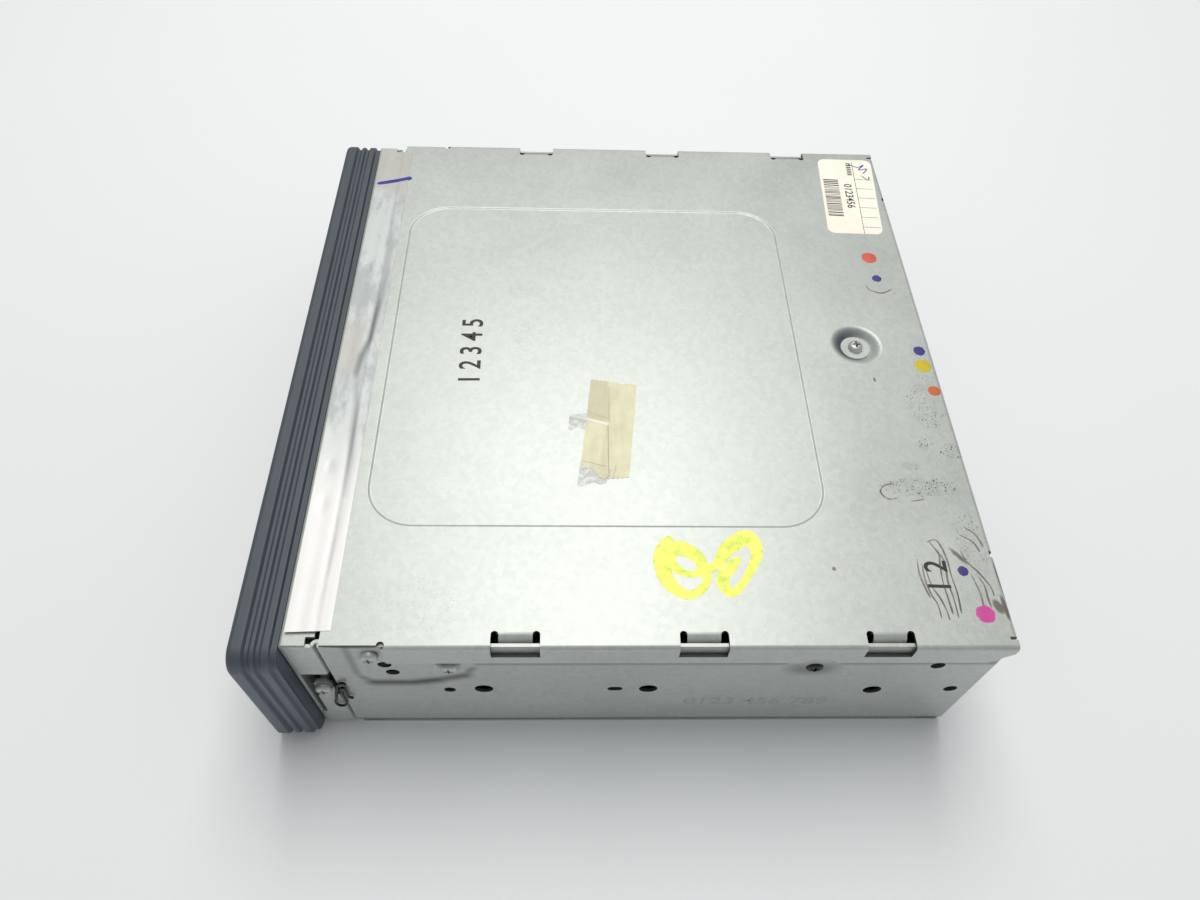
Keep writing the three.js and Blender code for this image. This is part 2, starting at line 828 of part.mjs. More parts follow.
function rearPanel() {
  const tabTop = dimpleFloor - sheet - fit;
  const behind = rearInner - overrun;
  const beyond = rearOuter + overrun;
  let body = joined(
    block(-earOuter, earOuter, rearInner, rearOuter, wallBottom, wallTop),
    block(dimpleX - tabWidth * half, dimpleX + tabWidth * half, dimpleY - tabMargin, rearInner + sheet * half,
      tabTop - sheet, tabTop),
    block(earInner, earOuter, rearInner - earReach, rearInner + sheet * half, earBottom, earTop),
    block(-earOuter, -earInner, rearInner - earReach, rearInner + sheet * half, earBottom, earTop),
  );
  body = without(
    body,
    block(socketX - socketWidth * half - fit, socketX + socketWidth * half + fit, behind, beyond,
      socketBottom - fit - fit, socketTop + fit),
    barY(antennaRadius + fit, behind, beyond, antennaX, antennaZ, roundSides),
    block(fuseX - fuseWidth * half - fit, fuseX + fuseWidth * half + fit, behind, beyond,
      fuseZ - fuseThickness * half - fit, fuseZ + fuseThickness * half + fit),
    barZ(screwHoleRadius, tabTop - sheet - overrun, tabTop + overrun, dimpleX, dimpleY, smallSides),
    barX(screwHoleRadius, earInner - overrun, earOuter + overrun, bossScrew[0], bossScrew[1], smallSides),
    barX(screwHoleRadius, -earOuter - overrun, -earInner + overrun, bossScrew[0], bossScrew[1], smallSides),
  );
  return geometryOf(body);
}

piece('rear_panel', rearPanel(), finish(zincShade, 0.5, 0.85));

// Front subframe: front plate with the disc window, top flange and stepped side flanges
const windowBottom = discSlotBottom - windowMarginBelow;
const windowTop = discSlotTop + windowMarginAbove;
const subframeBack = subframeFront + sheet;

function sideFlange(sign, front, z0, z1, reach) {
  const [ox0, ox1] = span(sign, wallInner, wallOuter);
  const [jx0, jx1] = span(sign, earInner, wallOuter);
  const [ex0, ex1] = span(sign, earInner, earOuter);
  const end = wallFront - fit;
  return [
    block(ox0, ox1, front, end - joggleLength * half, z0, z1),
    block(jx0, jx1, end - joggleLength, end, z0, z1),
    block(ex0, ex1, end - joggleLength * half, reach, z0, z1),
  ];
}

function frontSubframe() {
  const flangeTop = subframeTop - sheet;
  const tabHalf = screwTabWidth * half;
  const parts = [
    block(-wallOuter, wallOuter, subframeFront, subframeBack, wallBottom, subframeTop),
    block(-wallOuter, wallOuter, subframeFront, -subframeRearGap, flangeTop, subframeTop),
  ];
  for (const [, sign] of sides) {
    const [ox0, ox1] = span(sign, wallInner, wallOuter);
    parts.push(...sideFlange(sign, subframeFront, upperFlangeBottom, wallTop - fit, upperFlangeReach));
    parts.push(...sideFlange(sign, lowerFlangeFront, wallBottom, lowerFlangeTop, lowerFlangeReach));
    parts.push(block(ox0, ox1, subframeFront, lowerFlangeFront + sheet, wallBottom, lowerFootTop));
    parts.push(block(ox0, ox1, bracketScrewY - tabHalf, bracketScrewY + tabHalf, lowerFlangeTop - sheet,
      screwTabTop));
  }
  let body = joined(...parts);
  body = without(
    body,
    block(-windowHalfWidth, windowHalfWidth, subframeFront - overrun, subframeBack + fit, windowBottom,
      windowTop),
  );
  for (const [, sign] of sides) {
    const [nx0, nx1] = span(sign, wallOuter - cornerNotch, wallOuter + overrun);
    const [hx0, hx1] = span(sign, earInner - overrun, wallOuter + overrun);
    body = without(
      body,
      block(nx0, nx1, -subframeRearGap - cornerNotch, 0, flangeTop - fit, subframeTop + overrun),
      barX(screwHoleRadius, hx0, hx1, bracketScrewY, bracketScrewZ, smallSides),
      barX(screwHoleRadius, hx0, hx1, padScrew[0], padScrew[1], smallSides),
      barX(screwHoleRadius, hx0, hx1, recessScrew[0], recessScrew[1], smallSides),
    );
  }
  return geometryOf(body);
}

piece('front_subframe', frontSubframe(), finish(zinc, 0.5, 0.85));

// Front bezel: a ribbed profile carried round a rounded rectangle, and an inner web
const bezelMiddle = bezelHeight * half;
const bezelRear = subframeFront - bezelGap;
const bezelDepth = bezelRear - bezelFront;

// A turned ring whose quarters are moved out to the four corners
function ring(profile) {
  const sidesAll = bezelSegmentsPerCorner * 4;
  const step = Math.PI * 2 / sidesAll;
  const flat = Math.cos(step * half);
  const points = profile.map(([radius, depth]) => new THREE.Vector2(radius / flat, depth));
  const geometry = new THREE.LatheGeometry(points, sidesAll, step * half);
  const reachX = bezelHalfWidth - bezelCorner;
  const reachZ = bezelMiddle - bezelCorner;
  const place = geometry.attributes.position;
  for (let i = 0; i < place.count; i += 1) {
    place.setX(i, place.getX(i) + Math.sign(place.getX(i)) * reachX);
    place.setZ(i, place.getZ(i) + Math.sign(place.getZ(i)) * reachZ);
  }
  return geometry.translate(0, 0, bezelMiddle);
}

function bezelProfile() {
  const outer = bezelCorner;
  const inner = bezelCorner - bezelWall;
  const at = share => bezelFront + bezelDepth * share;
  const points = [[inner, bezelFront], [outer - bezelEdge, bezelFront],
    [outer - bezelEdge * bezelEdgeShare, bezelFront + bezelEdge * bezelEdgeShare],
      [outer, bezelFront + bezelEdge]];
  ribGrooveShares.forEach((share, i) => {
    points.push([outer, at(share - ribHalfGrooveShare)], [outer - ribDepth, at(share)]);
    if (i < ribGrooveShares.length - 1) points.push([outer, at(share + ribHalfGrooveShare)]);
  });
  points.push([outer - ribDepth, bezelRear], [inner, bezelRear], [inner, bezelFront]);
  return points;
}

function frontBezel() {
  const webFront = bezelRear - bezelWebThickness;
  const web = plateY(roundedRectangle(-bezelHalfWidth + bezelWall * half, bezelHalfWidth - bezelWall * half,
    bezelWall * half, bezelHeight - bezelWall * half, bezelWall), webFront, bezelRear + bezelGap - fit);
  const opening = block(-bezelHalfWidth + bezelWebInset, bezelHalfWidth - bezelWebInset, webFront - overrun,
    bezelRear + overrun,
    bezelWebMargin, bezelHeight - bezelWebMargin);
  return geometryOf(without(solid(web), opening).add(solid(ring(bezelProfile()))));
}

piece('front_bezel', frontBezel(), finish(0x545e6a, 0.55, 0.1));

// Fascia: front face with the slot, button hole and lamp hole
const fasciaFront = bezelFront + fasciaRecess;
const fasciaRear = fasciaFront + fasciaThickness;
const fasciaHalfWidth = bezelHalfWidth - bezelWall - fit;
const fasciaBottom = bezelWall + fit;
const fasciaTop = bezelHeight - bezelWall - fit;
const buttonZ = discSlotBottom + discSlotHeight * half;
const flapPivotZ = discSlotTop + flapPivotRise;
const flapPivotY = fasciaRear + flapPivotGap;
const flapHalfWidth = discSlotHalfWidth + flapLap;
const frontBoardY = fasciaRear + frontBoardGap;

function fasciaPanel() {
  const bosses = [frontBossX, -frontBossX];
  const parts = [
    plateY(roundedRectangle(-fasciaHalfWidth, fasciaHalfWidth, fasciaBottom, fasciaTop,
      bezelCorner - bezelWall),
      fasciaFront, fasciaRear),
    ...bosses.map(x => barY(frontBossRadius, fasciaRear - fit, frontBoardY - fit, x,
      (frontBoardBottom + frontBoardTop) * half, smallSides)),
  ];
  for (const [, sign] of sides) {
    const [x0, x1] = span(sign, flapHalfWidth + fit + fit, flapHalfWidth + fit + fit + flapEarWidth);
    parts.push(block(x0, x1, fasciaRear - fit, flapPivotY + flapEarHalf, flapPivotZ - flapEarHalf,
      flapPivotZ + flapEarHalf));
  }
  const ahead = fasciaFront - overrun;
  const past = fasciaRear + overrun;
  const tools = [
    plateY(roundedRectangle(-discSlotHalfWidth, discSlotHalfWidth, discSlotBottom, discSlotTop, sheet),
      ahead, past),
    block(buttonX - buttonWidth * half - fit, buttonX + buttonWidth * half + fit, ahead, past,
      buttonZ - buttonHeight * half - fit, buttonZ + buttonHeight * half + fit),
    barY(lensRadius + fit, ahead, past, buttonX, lensZ, smallSides),
    barX(flapPinRadius + fit, -bezelHalfWidth, bezelHalfWidth, flapPivotY, flapPivotZ, smallSides),
  ];
  return geometryOf(without(joined(...parts), ...tools));
}

piece('fascia_panel', fasciaPanel(), finish(black, 0.45, 0));

// Dust flap: plate under a pivot barrel, with a pin at each end
function dustFlap() {
  const back = flapThickness * half;
  const reach = flapHalfWidth + flapPinReach;
  return geometryOf(joined(
    block(-flapHalfWidth, flapHalfWidth, flapPivotY - back, flapPivotY + back, discSlotBottom - flapLap,
      flapPivotZ),
    barX(flapBarrelRadius, -flapHalfWidth, flapHalfWidth, flapPivotY, flapPivotZ, smallSides),
    barX(flapPinRadius, -reach, reach, flapPivotY, flapPivotZ, smallSides),
  ));
}

piece('dust_flap', dustFlap(), finish(black, 0.6, 0));

// Eject button: a key with a flange behind the fascia
function ejectButton() {
  const flangeFront = fasciaRear + fit;
  const key = roundedRectangle(buttonX - buttonWidth * half, buttonX + buttonWidth * half,
    buttonZ - buttonHeight * half, buttonZ + buttonHeight * half, sheet);
  const flange = block(buttonX - buttonWidth * half - buttonFlange,
    buttonX + buttonWidth * half + buttonFlange,
    flangeFront, flangeFront + buttonFlangeDepth,
    buttonZ - buttonHeight * half - buttonFlange, buttonZ + buttonHeight * half + buttonFlange);
  return geometryOf(joined(plateY(key, fasciaFront - buttonProud, flangeFront + fit), flange));
}

piece('eject_button', ejectButton(), finish(0x2a2c30, 0.5, 0));

piece('status_lens', barY(lensRadius, fasciaFront - lensProud, frontBoardY - fit, buttonX, lensZ, smallSides),
  finish(0xc8d8e0, 0.2, 0));

// Front board: an L-shaped board behind the fascia
piece('front_board', plateY(outline([
  [frontBoardLeft, frontBoardBottom], [frontBoardRight, frontBoardBottom],
    [frontBoardRight, frontBoardWingTop],
  [frontBoardWingLeft, frontBoardWingTop], [frontBoardWingLeft, frontBoardTop],
    [frontBoardLeft, frontBoardTop],
]), frontBoardY, frontBoardY + frontBoardThickness), finish(0x1f5a3a, 0.5, 0));

// Tapes and label lie flat on the lid
piece('foil_tape', block(-foilHalfWidth, foilHalfWidth, foilFront, foilRear, caseHeight,
  caseHeight + tapeThickness),
  finish(0xe8ebec, 0.25, 0.9));
piece('clear_tape', plateZ(outline(clearCorners), caseHeight, caseHeight + tapeThickness),
  finish(0xded8b2, 0.3, 0));
piece('label', plateZ(outline(labelCorners), caseHeight, caseHeight + tapeThickness),
  finish(0xeee9dc, 0.7, 0));

// Screws: pan head over a short shank, head towards +Z before turning
function screw(headRadius) {
  return turned([[0, -screwShankLength], [screwShankRadius, -screwShankLength], [screwShankRadius, 0],
    [headRadius, 0], [headRadius, screwHeadHeight * half],
    [headRadius * screwRimShare, screwHeadHeight * screwEdgeShare], [0, screwHeadHeight]], smallSides);
}

const screwFinish = finish(0xd8dad6, 0.3, 1);
const lidScrew = piece('lid_screw', screw(smallScrewHeadRadius), screwFinish);
lidScrew.position.set(dimpleX, dimpleY, dimpleFloor + fit);

const blackScrew = finish(0x33353a, 0.35, 0.9);
const sideScrews = [
  ['screw_pad', padScrew, wallOuter + padHeight, smallScrewHeadRadius, screwFinish],
  ['screw_recess', recessScrew, wallOuter + fit, smallScrewHeadRadius, screwFinish],
  ['screw_boss', bossScrew, wallOuter + bossHeight, screwHeadRadius, blackScrew],
  ['screw_bracket', [bracketScrewY, bracketScrewZ], wallOuter, smallScrewHeadRadius, screwFinish],
];
for (const [side, sign] of sides) {
  for (const [name, [y, z], face, headRadius, material] of sideScrews) {
    const mesh = piece(`${name}_${side}`, screw(headRadius), material);
    mesh.rotation.y = sign * Math.PI / 2;
    mesh.position.set(sign * (face + fit), y, z);
  }
}

// Wire spring that hooks over the corner, in the gap on the right
function springClip() {
  const route = springRouteShares.map(([along, up]) => new THREE.Vector3(
    wallOuter + fit + springWireRadius, springFront + springWidth * along, springBottom + springHeight * up));
  const section = new THREE.Shape();
  section.absarc(0, 0, springWireRadius, 0, Math.PI * 2, false);
  return new THREE.ExtrudeGeometry(section, {
    steps: springSteps,
    bevelEnabled: false,
    extrudePath: new THREE.CatmullRomCurve3(route),
    curveSegments: springSides * half,
  });
}

piece('spring_clip', springClip(), finish(0x1a1a1c, 0.4, 0.6));

// Rear connector, antenna socket, fuse and heat sink
function rearConnector() {
  const x0 = socketX - socketWidth * half;
  const x1 = socketX + socketWidth * half;
  const back = rearOuter + socketProud;
  const shell = solid(block(x0, x1, back - socketDepth, back, socketBottom, socketTop));
  return geometryOf(without(shell,
    block(x0 + socketWall, x1 - socketWall, back - socketCavityDepth, back + overrun,
    socketBottom + socketWall, socketTop - socketWall)));
}

piece('rear_connector', rearConnector(), finish(black, 0.55, 0));

function antennaSocket() {
  const tip = rearOuter + antennaProud;
  const root = rearInner - fit - antennaCollarLength;
  return geometryOf(without(
    joined(barY(antennaRadius, root + fit, tip, antennaX, antennaZ, roundSides),
      barY(antennaCollarRadius, root, root + antennaCollarLength, antennaX, antennaZ, roundSides)),
    barY(antennaBoreRadius, tip - antennaCavityDepth, tip + overrun, antennaX, antennaZ, smallSides),
  ));
}

piece('antenna_socket', antennaSocket(), finish(0xb9bcbc, 0.35, 0.9));

function bladeFuse() {
  const inner = rearOuter - fuseInside;
  const parts = [block(fuseX - fuseWidth * half, fuseX + fuseWidth * half, inner, rearOuter + fuseProud,
    fuseZ - fuseThickness * half, fuseZ + fuseThickness * half)];
  for (const side of [-1, 1]) {
    const x = fuseX + side * (fuseWidth * half - fuseBladeWidth * half - fuseBladeThickness);
    parts.push(block(x - fuseBladeWidth * half, x + fuseBladeWidth * half, inner - fuseBladeLength,
      inner + fit,
      fuseZ - fuseBladeThickness * half, fuseZ + fuseBladeThickness * half));
  }
  return geometryOf(joined(...parts));
}

piece('blade_fuse', bladeFuse(), finish(0xc9a83a, 0.35, 0));

function heatSink() {
  const x1 = sinkRight;
  const x0 = x1 - sinkWidth;
  const y0 = rearOuter + fit;
  const pitch = (sinkWidth - sinkFinWidth) / (sinkFinCount - 1);
  const points = [[x0, y0], [x1, y0]];
  for (let i = sinkFinCount - 1; i >= 0; i -= 1) {
    const left = x0 + i * pitch;
    points.push([left + sinkFinWidth, y0 + sinkBaseThickness]);
    points.push([left + sinkFinWidth, y0 + sinkBaseThickness + sinkFinHeight]);
    points.push([left, y0 + sinkBaseThickness + sinkFinHeight]);
    points.push([left, y0 + sinkBaseThickness]);
  }
  const ends = points.filter(([x, y],
    i) => i < 2 || !(y === y0 + sinkBaseThickness && (x === x1 || x === x0)));
  return plateZ(outline(ends), sinkBottom, sinkTop);
}

piece('heat_sink', heatSink(), finish(0x9fa3a5, 0.4, 0.9));

// Main board and what stands on it
piece('main_board', block(-boardHalfWidth, boardHalfWidth, boardFront, boardRear, boardBottom, boardTop),
  finish(0x1f5a3a, 0.5, 0));
piece('capacitor', barZ(capacitorRadius, boardTop + fit, boardTop + fit + capacitorHeight, capacitorX,
  capacitorY,
  roundSides), finish(0x1d2a4a, 0.35, 0));

function flatCable() {
  const low = boardTop + fit;
  const high = deckUnder - fit;
  const start = cableY - cableRun;
  const bend = cableY + cableRun;
  const end = bend + cableRun;
  const t = cableThickness;
  const shape = outline([
    [start, low], [cableY, low], [bend, high - t], [end, high - t],
    [end, high], [bend - t, high], [cableY - t, low + t], [start, low + t],
  ]);
  return plateX(shape, cableX - cableWidth * half, cableX + cableWidth * half);
}

piece('flat_cable', flatCable(), finish(0xe2e2dc, 0.5, 0));

// Deck chassis: base plate, two side rails, rod tabs and the motor tab
const deck = new THREE.Group();
unit.add(deck);

const railInner = railHalfWidth - sheet;
const sledFront = spindleY + spindleMotorRadius + sledFrontGap;
const sledMiddle = sledFront + sledLength * half;
const windowFront = sledFront - sledEndGap;
const windowRear = sledFront + sledLength + sledTravel + sledEndGap;
const gearDistanceRoller = (rollerTeeth + idlerTeeth) * toothModuleLength * half;
const gearDistancePinion = (idlerTeeth + pinionTeeth) * toothModuleLength * half;
const idlerY = rollerY + gearDistanceRoller * Math.cos(idlerDirection);
const idlerZ = rollerZ + gearDistanceRoller * Math.sin(idlerDirection);
const motorZ = deckUnder - fit - motorRadius;
const motorY = idlerY + Math.sqrt(gearDistancePinion ** 2 - (idlerZ - motorZ) ** 2);
const gearInner = railHalfWidth + gearSideGap;

function rodTab(x, y0) {
  return block(x - rodTabHalfWidth, x + rodTabHalfWidth, y0, y0 + rodTabThickness, deckUnder - rodTabDrop,
    deckUnder + fit);
}

function deckChassis() {
  const rearTab = windowRear + fit;
  const frontTab = windowFront - fit - rodTabThickness;
  const parts = [
    block(-railHalfWidth, railHalfWidth, railFront, railRear, deckUnder, deckPlateTop),
    block(railInner, railHalfWidth, railFront, railRear, deckUnder, railTop),
    block(-railHalfWidth, -railInner, railFront, railRear, deckUnder, railTop),
    block(-railHalfWidth, -railInner, gearTabFront, motorY + gearTabMargin, deckUnder - gearTabDrop,
      deckUnder + fit),
    barX(stubRadius, -gearInner - gearWidth - stubProud, -railInner, idlerY, idlerZ, smallSides),
    ...[-rodX, rodX, screwX].map(x => rodTab(x, rearTab)),
    ...[-rodX, rodX].map(x => rodTab(x, frontTab)),
  ];
  const under = deckUnder - overrun;
  const over = deckPlateTop + overrun;
  const wide = railHalfWidth + overrun;
  const tabFrom = frontTab - overrun;
  const tabTo = rearTab + rodTabThickness + overrun;
  return geometryOf(without(
    joined(...parts),
    block(sledWindowLeft, sledWindowRight, windowFront, windowRear, under, over),
    barZ(spindleHoleRadius, under, over, 0, spindleY, roundSides),
    barX(rollerShaftRadius + fit, -wide, wide, rollerY, rollerZ),
    barX(pinchPinRadius + fit, -wide, wide, pinchPivotY, pinchPivotZ),
    barX(motorShaftRadius + fit, -wide, -railInner + overrun, motorY, motorZ),
    barY(rodRadius + fit, tabFrom, tabTo, rodX, rodZ),
    barY(rodRadius + fit, tabFrom, tabTo, -rodX, rodZ),
    barY(leadRadius + fit, windowRear, tabTo, screwX, rodZ),
  ));
}

piece('deck_chassis', deckChassis(), finish(0xb4b8b6, 0.5, 0.8), deck);

// Upper guide plate with the clamp slot and the clamp arm's ears
const clampPivotZ = clampArmZ + clampArmThickness * half;

function upperGuidePlate() {
  const parts = [block(-railHalfWidth, railHalfWidth, guidePlateFront, guidePlateRear, guideBottom,
    guideTop)];
  for (const [, sign] of sides) {
    const [x0, x1] = span(sign, clampArmHalfWidth + fit + fit, clampArmHalfWidth + fit + fit + clampEarWidth);
    parts.push(block(x0, x1, clampPivotY - clampEarLength * half, clampPivotY + clampEarLength * half,
      guideBottom + fit, guideTop + clampEarHeight));
  }
  const reach = clampArmHalfWidth + clampEarWidth + overrun;
  return geometryOf(without(
    joined(...parts),
    block(-guideSlotHalfWidth, guideSlotHalfWidth, guideSlotFront, guideSlotRear, guideBottom - overrun,
      guideTop + overrun),
    barX(clampPinRadius + fit, -reach, reach, clampPivotY, clampPivotZ),
  ));
}

piece('upper_guide_plate', upperGuidePlate(), finish(0xb4b8b6, 0.5, 0.8), deck);

// Rubber dampers between the rails and the side plates
for (const [side, sign] of sides) {
  for (const [place, y] of [['front', damperFrontY], ['rear', damperRearY]]) {
    const shape = turned([[0, 0], [damperRadius, 0], [damperRadius, damperRim],
      [damperWaistRadius, damperLength * half],
      [damperRadius, damperLength - damperRim], [damperRadius, damperLength], [0, damperLength]], holeSides);
    const mesh = piece(`damper_${side}_${place}`, shape, finish(0x26262a, 0.8, 0), deck);
    mesh.rotation.y = sign * Math.PI / 2;
    mesh.position.set(sign * (railHalfWidth + fit), y, damperZ);
  }
}

// Spindle motor under the deck, turntable above it
const spindleMotorTop = deckUnder - fit;
const spindleMotorFloor = spindleMotorTop - spindleMotorHeight;
const spindleBore = spindleShaftRadius + fit;
const spindleMotor = piece('spindle_motor',
  turned([[spindleBore, spindleMotorFloor], [spindleMotorRadius, spindleMotorFloor],
  [spindleMotorRadius, spindleMotorTop], [spindleBore, spindleMotorTop], [spindleBore, spindleMotorFloor]],
    bigRoundSides),
finish(0x8d9092, 0.35, 0.9), deck);
spindleMotor.position.y = spindleY;

const nose = turntableTop + turntableNoseHeight;
const turntable = piece('turntable', turned([
  [0, spindleMotorFloor + sheet], [spindleShaftRadius, spindleMotorFloor + sheet],
  [spindleShaftRadius, spindleMotorTop + sheet], [turntableHubRadius, spindleMotorTop + sheet],
  [turntableHubRadius, turntableTop - turntableThickness],
    [turntableRadius, turntableTop - turntableThickness],
  [turntableRadius, turntableTop], [turntableNoseRadius, turntableTop],
  [turntableNoseRadius, nose - turntableNoseHeight * half],
    [turntableNoseRadius - turntableNoseChamfer, nose], [0, nose]], bigRoundSides),
finish(0x2c2d30, 0.5, 0), deck);
turntable.position.y = spindleY;

// Clamper puck hangs in the clamp arm
const capBottom = armTop + fit;
const clamper = piece('clamper', turned([
  [0, clamperBottom], [clamperRadius, clamperBottom], [clamperRadius, clamperBottom + clamperThickness],
  [clamperNeckRadius, clamperBottom + clamperThickness], [clamperNeckRadius, capBottom],
    [clamperCapRadius, capBottom],
  [clamperCapRadius, capBottom + clamperCapThickness], [0, capBottom + clamperCapThickness]], bigRoundSides),
finish(0xe6e6e2, 0.5, 0), deck);
clamper.position.y = spindleY;

// Clamp arm: plate, cross bar to the slider side, and pivot pins
const fingerInner = railHalfWidth + fit;

function clampArm() {
  const crossTop = armTop + clampCrossRise;
  const crossFront = clampCrossY - clampCrossWidth * half;
  const crossRear = clampCrossY + clampCrossWidth * half;
  const pinReach = clampArmHalfWidth + fit + fit + clampEarWidth + fit;
  return geometryOf(without(
    joined(
      plateZ(roundedRectangle(-clampArmHalfWidth, clampArmHalfWidth, clampArmFront,
        clampPivotY + clampPinRadius,
        sheet), clampArmZ, armTop),
      block(-clampArmHalfWidth, clampArmHalfWidth, crossFront, crossRear, clampArmZ, crossTop),
      block(clampArmHalfWidth - sheet, fingerInner + clampFingerWidth, crossFront, crossRear,
        crossTop - clampArmThickness,
        crossTop),
      block(fingerInner, fingerInner + clampFingerWidth, clampCrossY - sheet, clampCrossY + sheet,
        clampArmZ, crossTop - fit),
      barX(clampPinRadius, -pinReach, pinReach, clampPivotY, clampPivotZ),
    ),
    barZ(clamperNeckRadius + clampHubGap, clampArmZ - overrun, armTop + overrun, 0, spindleY, roundSides),
  ));
}

piece('clamp_arm', clampArm(), finish(0xaeb2b0, 0.5, 0.8), deck);

// Cam slider: its ramp lets the clamp arm's finger down as it moves back
const sliderTop = clampArmZ - fit;
const rampRear = clampCrossY + sheet;
piece('cam_slider', plateX(outline([
  [sliderFront, sliderBottom], [sliderRear, sliderBottom], [sliderRear, sliderTop], [rampRear, sliderTop],
  [rampRear - sliderRampRun, sliderTop - sliderRampDrop], [sliderFront, sliderTop - sliderRampDrop],
]), railHalfWidth + fit, railHalfWidth + fit + sliderThickness), finish(0xe0dfd8, 0.5, 0), deck);

// Gears: thin involute teeth, a tooth centred on the given direction
const involute = angle => Math.tan(angle) - angle;

function gearShape(teeth, firstTooth) {
  const pitchRadius = teeth * toothModuleLength * half;
  const baseRadius = pitchRadius * Math.cos(pressureAngle);
  const radii = [pitchRadius - dedendumShare * toothModuleLength, pitchRadius,
    pitchRadius + addendumShare * toothModuleLength];
  const halfTooth = Math.PI / (2 * teeth) * toothThicknessShare;
  const halfAngleAt = radius => halfTooth + involute(pressureAngle)
    - involute(Math.acos(Math.min(1, baseRadius / radius)));
  const points = [];
  for (let tooth = 0; tooth < teeth; tooth += 1) {
    const centre = firstTooth + tooth * Math.PI * 2 / teeth;
    for (const radius of radii) {
      const angle = centre - halfAngleAt(radius);
      points.push([radius * Math.cos(angle), radius * Math.sin(angle)]);
    }
    for (const radius of [...radii].reverse()) {
      const angle = centre + halfAngleAt(radius);
      points.push([radius * Math.cos(angle), radius * Math.sin(angle)]);
    }
  }
  return outline(points);
}

// First tooth of the second gear, so that it meshes with the first one in this direction
function meshedTooth(firstTooth, firstTeeth, secondTeeth, direction) {
  const firstStep = Math.PI * 2 / firstTeeth;
  const secondStep = Math.PI * 2 / secondTeeth;
  const phase = (direction - firstTooth) / firstStep;
  return direction + Math.PI - secondStep * (half - phase);
}

const pinionDirection = Math.atan2(motorZ - idlerZ, motorY - idlerY);
const rollerTooth = idlerDirection;
const idlerTooth = meshedTooth(rollerTooth, rollerTeeth, idlerTeeth, idlerDirection);
const pinionTooth = meshedTooth(idlerTooth, idlerTeeth, pinionTeeth, pinionDirection);

function gear(teeth, firstTooth, boreRadius) {
  const shape = gearShape(teeth, firstTooth);
  if (boreRadius > 0) {
    const bore = new THREE.Path();
    bore.absarc(0, 0, boreRadius, 0, Math.PI * 2, true);
    shape.holes.push(bore);
  }
  return plateX(shape, -gearInner - gearWidth, -gearInner);
}

const idler = piece('idler_gear', gear(idlerTeeth, idlerTooth, stubRadius + fit), finish(0xe4e2d6, 0.5, 0),
  deck);
idler.position.set(0, idlerY, idlerZ);

const rollerGear = piece('roller_gear', gear(rollerTeeth, rollerTooth, rollerShaftRadius + fit * half),
  finish(0xe4e2d6, 0.5, 0), deck);
rollerGear.position.set(0, rollerY, rollerZ);

const pinionBody = joined(
  gear(pinionTeeth, pinionTooth, 0),
  barX(motorShaftRadius, -gearInner - fit, -railInner + fit + motorShaftDepth, 0, 0, smallSides),
);
const pinion = piece('motor_pinion', geometryOf(pinionBody), finish(0xc8a860, 0.35, 0.8), deck);
pinion.position.set(0, motorY, motorZ);

// Roller shaft, rubber roller and loading motor
piece('roller_shaft', barX(rollerShaftRadius, -rollerShaftLeft, rollerShaftRight, rollerY, rollerZ,
  smallSides),
  finish(0xc6c8c8, 0.2, 1), deck);

const rollerBore = rollerShaftRadius + fit * half;
const feedRoller = piece('feed_roller', turned([
  [rollerBore, -rollerHalfLength], [rollerRadius, -rollerHalfLength], [rollerRadius - rollerTaper, 0],
  [rollerRadius, rollerHalfLength], [rollerBore, rollerHalfLength], [rollerBore, -rollerHalfLength]],
    holeSides),
finish(0x2b2a2a, 0.85, 0), deck);
feedRoller.rotation.y = Math.PI / 2;
feedRoller.position.set(0, rollerY, rollerZ);

const motorFace = -railInner + fit;
piece('loading_motor', geometryOf(without(
  solid(barX(motorRadius, motorFace, motorFace + motorLength, motorY, motorZ, roundSides)),
  barX(motorShaftRadius + fit, motorFace - overrun, motorFace + motorShaftDepth + fit, motorY, motorZ,
    smallSides),
)), finish(0x9a9c9e, 0.35, 0.9), deck);

// Pinch bar: barrel, web and lip over the roller, with a pin at each end
function pinchBar() {
  const lipZ = rollerZ + rollerRadius + pinchLipGap;
  const web = outline([
    [rollerY - pinchLipHalf, lipZ + pinchLipHalf * half],
    [rollerY, lipZ],
    [rollerY + pinchLipHalf, lipZ + pinchLipHalf * half],
    [pinchPivotY, pinchPivotZ - pinchBarrelRadius],
    [pinchPivotY, pinchPivotZ + pinchBarrelRadius * half],
    [rollerY + pinchLipHalf, lipZ + pinchLipHalf + pinchThickness],
    [rollerY - pinchLipHalf, lipZ + pinchLipHalf + pinchThickness],
  ]);
  const reach = railHalfWidth + fit;
  return geometryOf(joined(
    plateX(web, -pinchHalfLength, pinchHalfLength),
    barX(pinchBarrelRadius, -pinchHalfLength, pinchHalfLength, pinchPivotY, pinchPivotZ, smallSides),
    barX(pinchPinRadius, -reach, reach, pinchPivotY, pinchPivotZ, smallSides),
  ));
}

piece('pinch_bar', pinchBar(), finish(0x303236, 0.5, 0), deck);

// Pickup sled on its rods, lens, lead screw and sled motor
function pickupSled() {
  const shape = roundedRectangle(sledLeft, sledRight, sledBottom, sledTop, sheet);
  const rear = sledFront + sledLength;
  return geometryOf(without(
    joined(
      plateY(shape, sledFront, rear),
      block(-towerSize * half, towerSize * half, sledMiddle - towerSize * half, sledMiddle + towerSize * half,
        sledTop - fit, towerTop),
    ),
    barY(rodRadius + fit, sledFront - overrun, rear + overrun, rodX, rodZ),
    barY(rodRadius + fit, sledFront - overrun, rear + overrun, -rodX, rodZ),
    barY(leadRadius + fit, sledFront - overrun, rear + overrun, screwX, rodZ),
  ));
}

piece('pickup_sled', pickupSled(), finish(0x2e3034, 0.5, 0.2), deck);

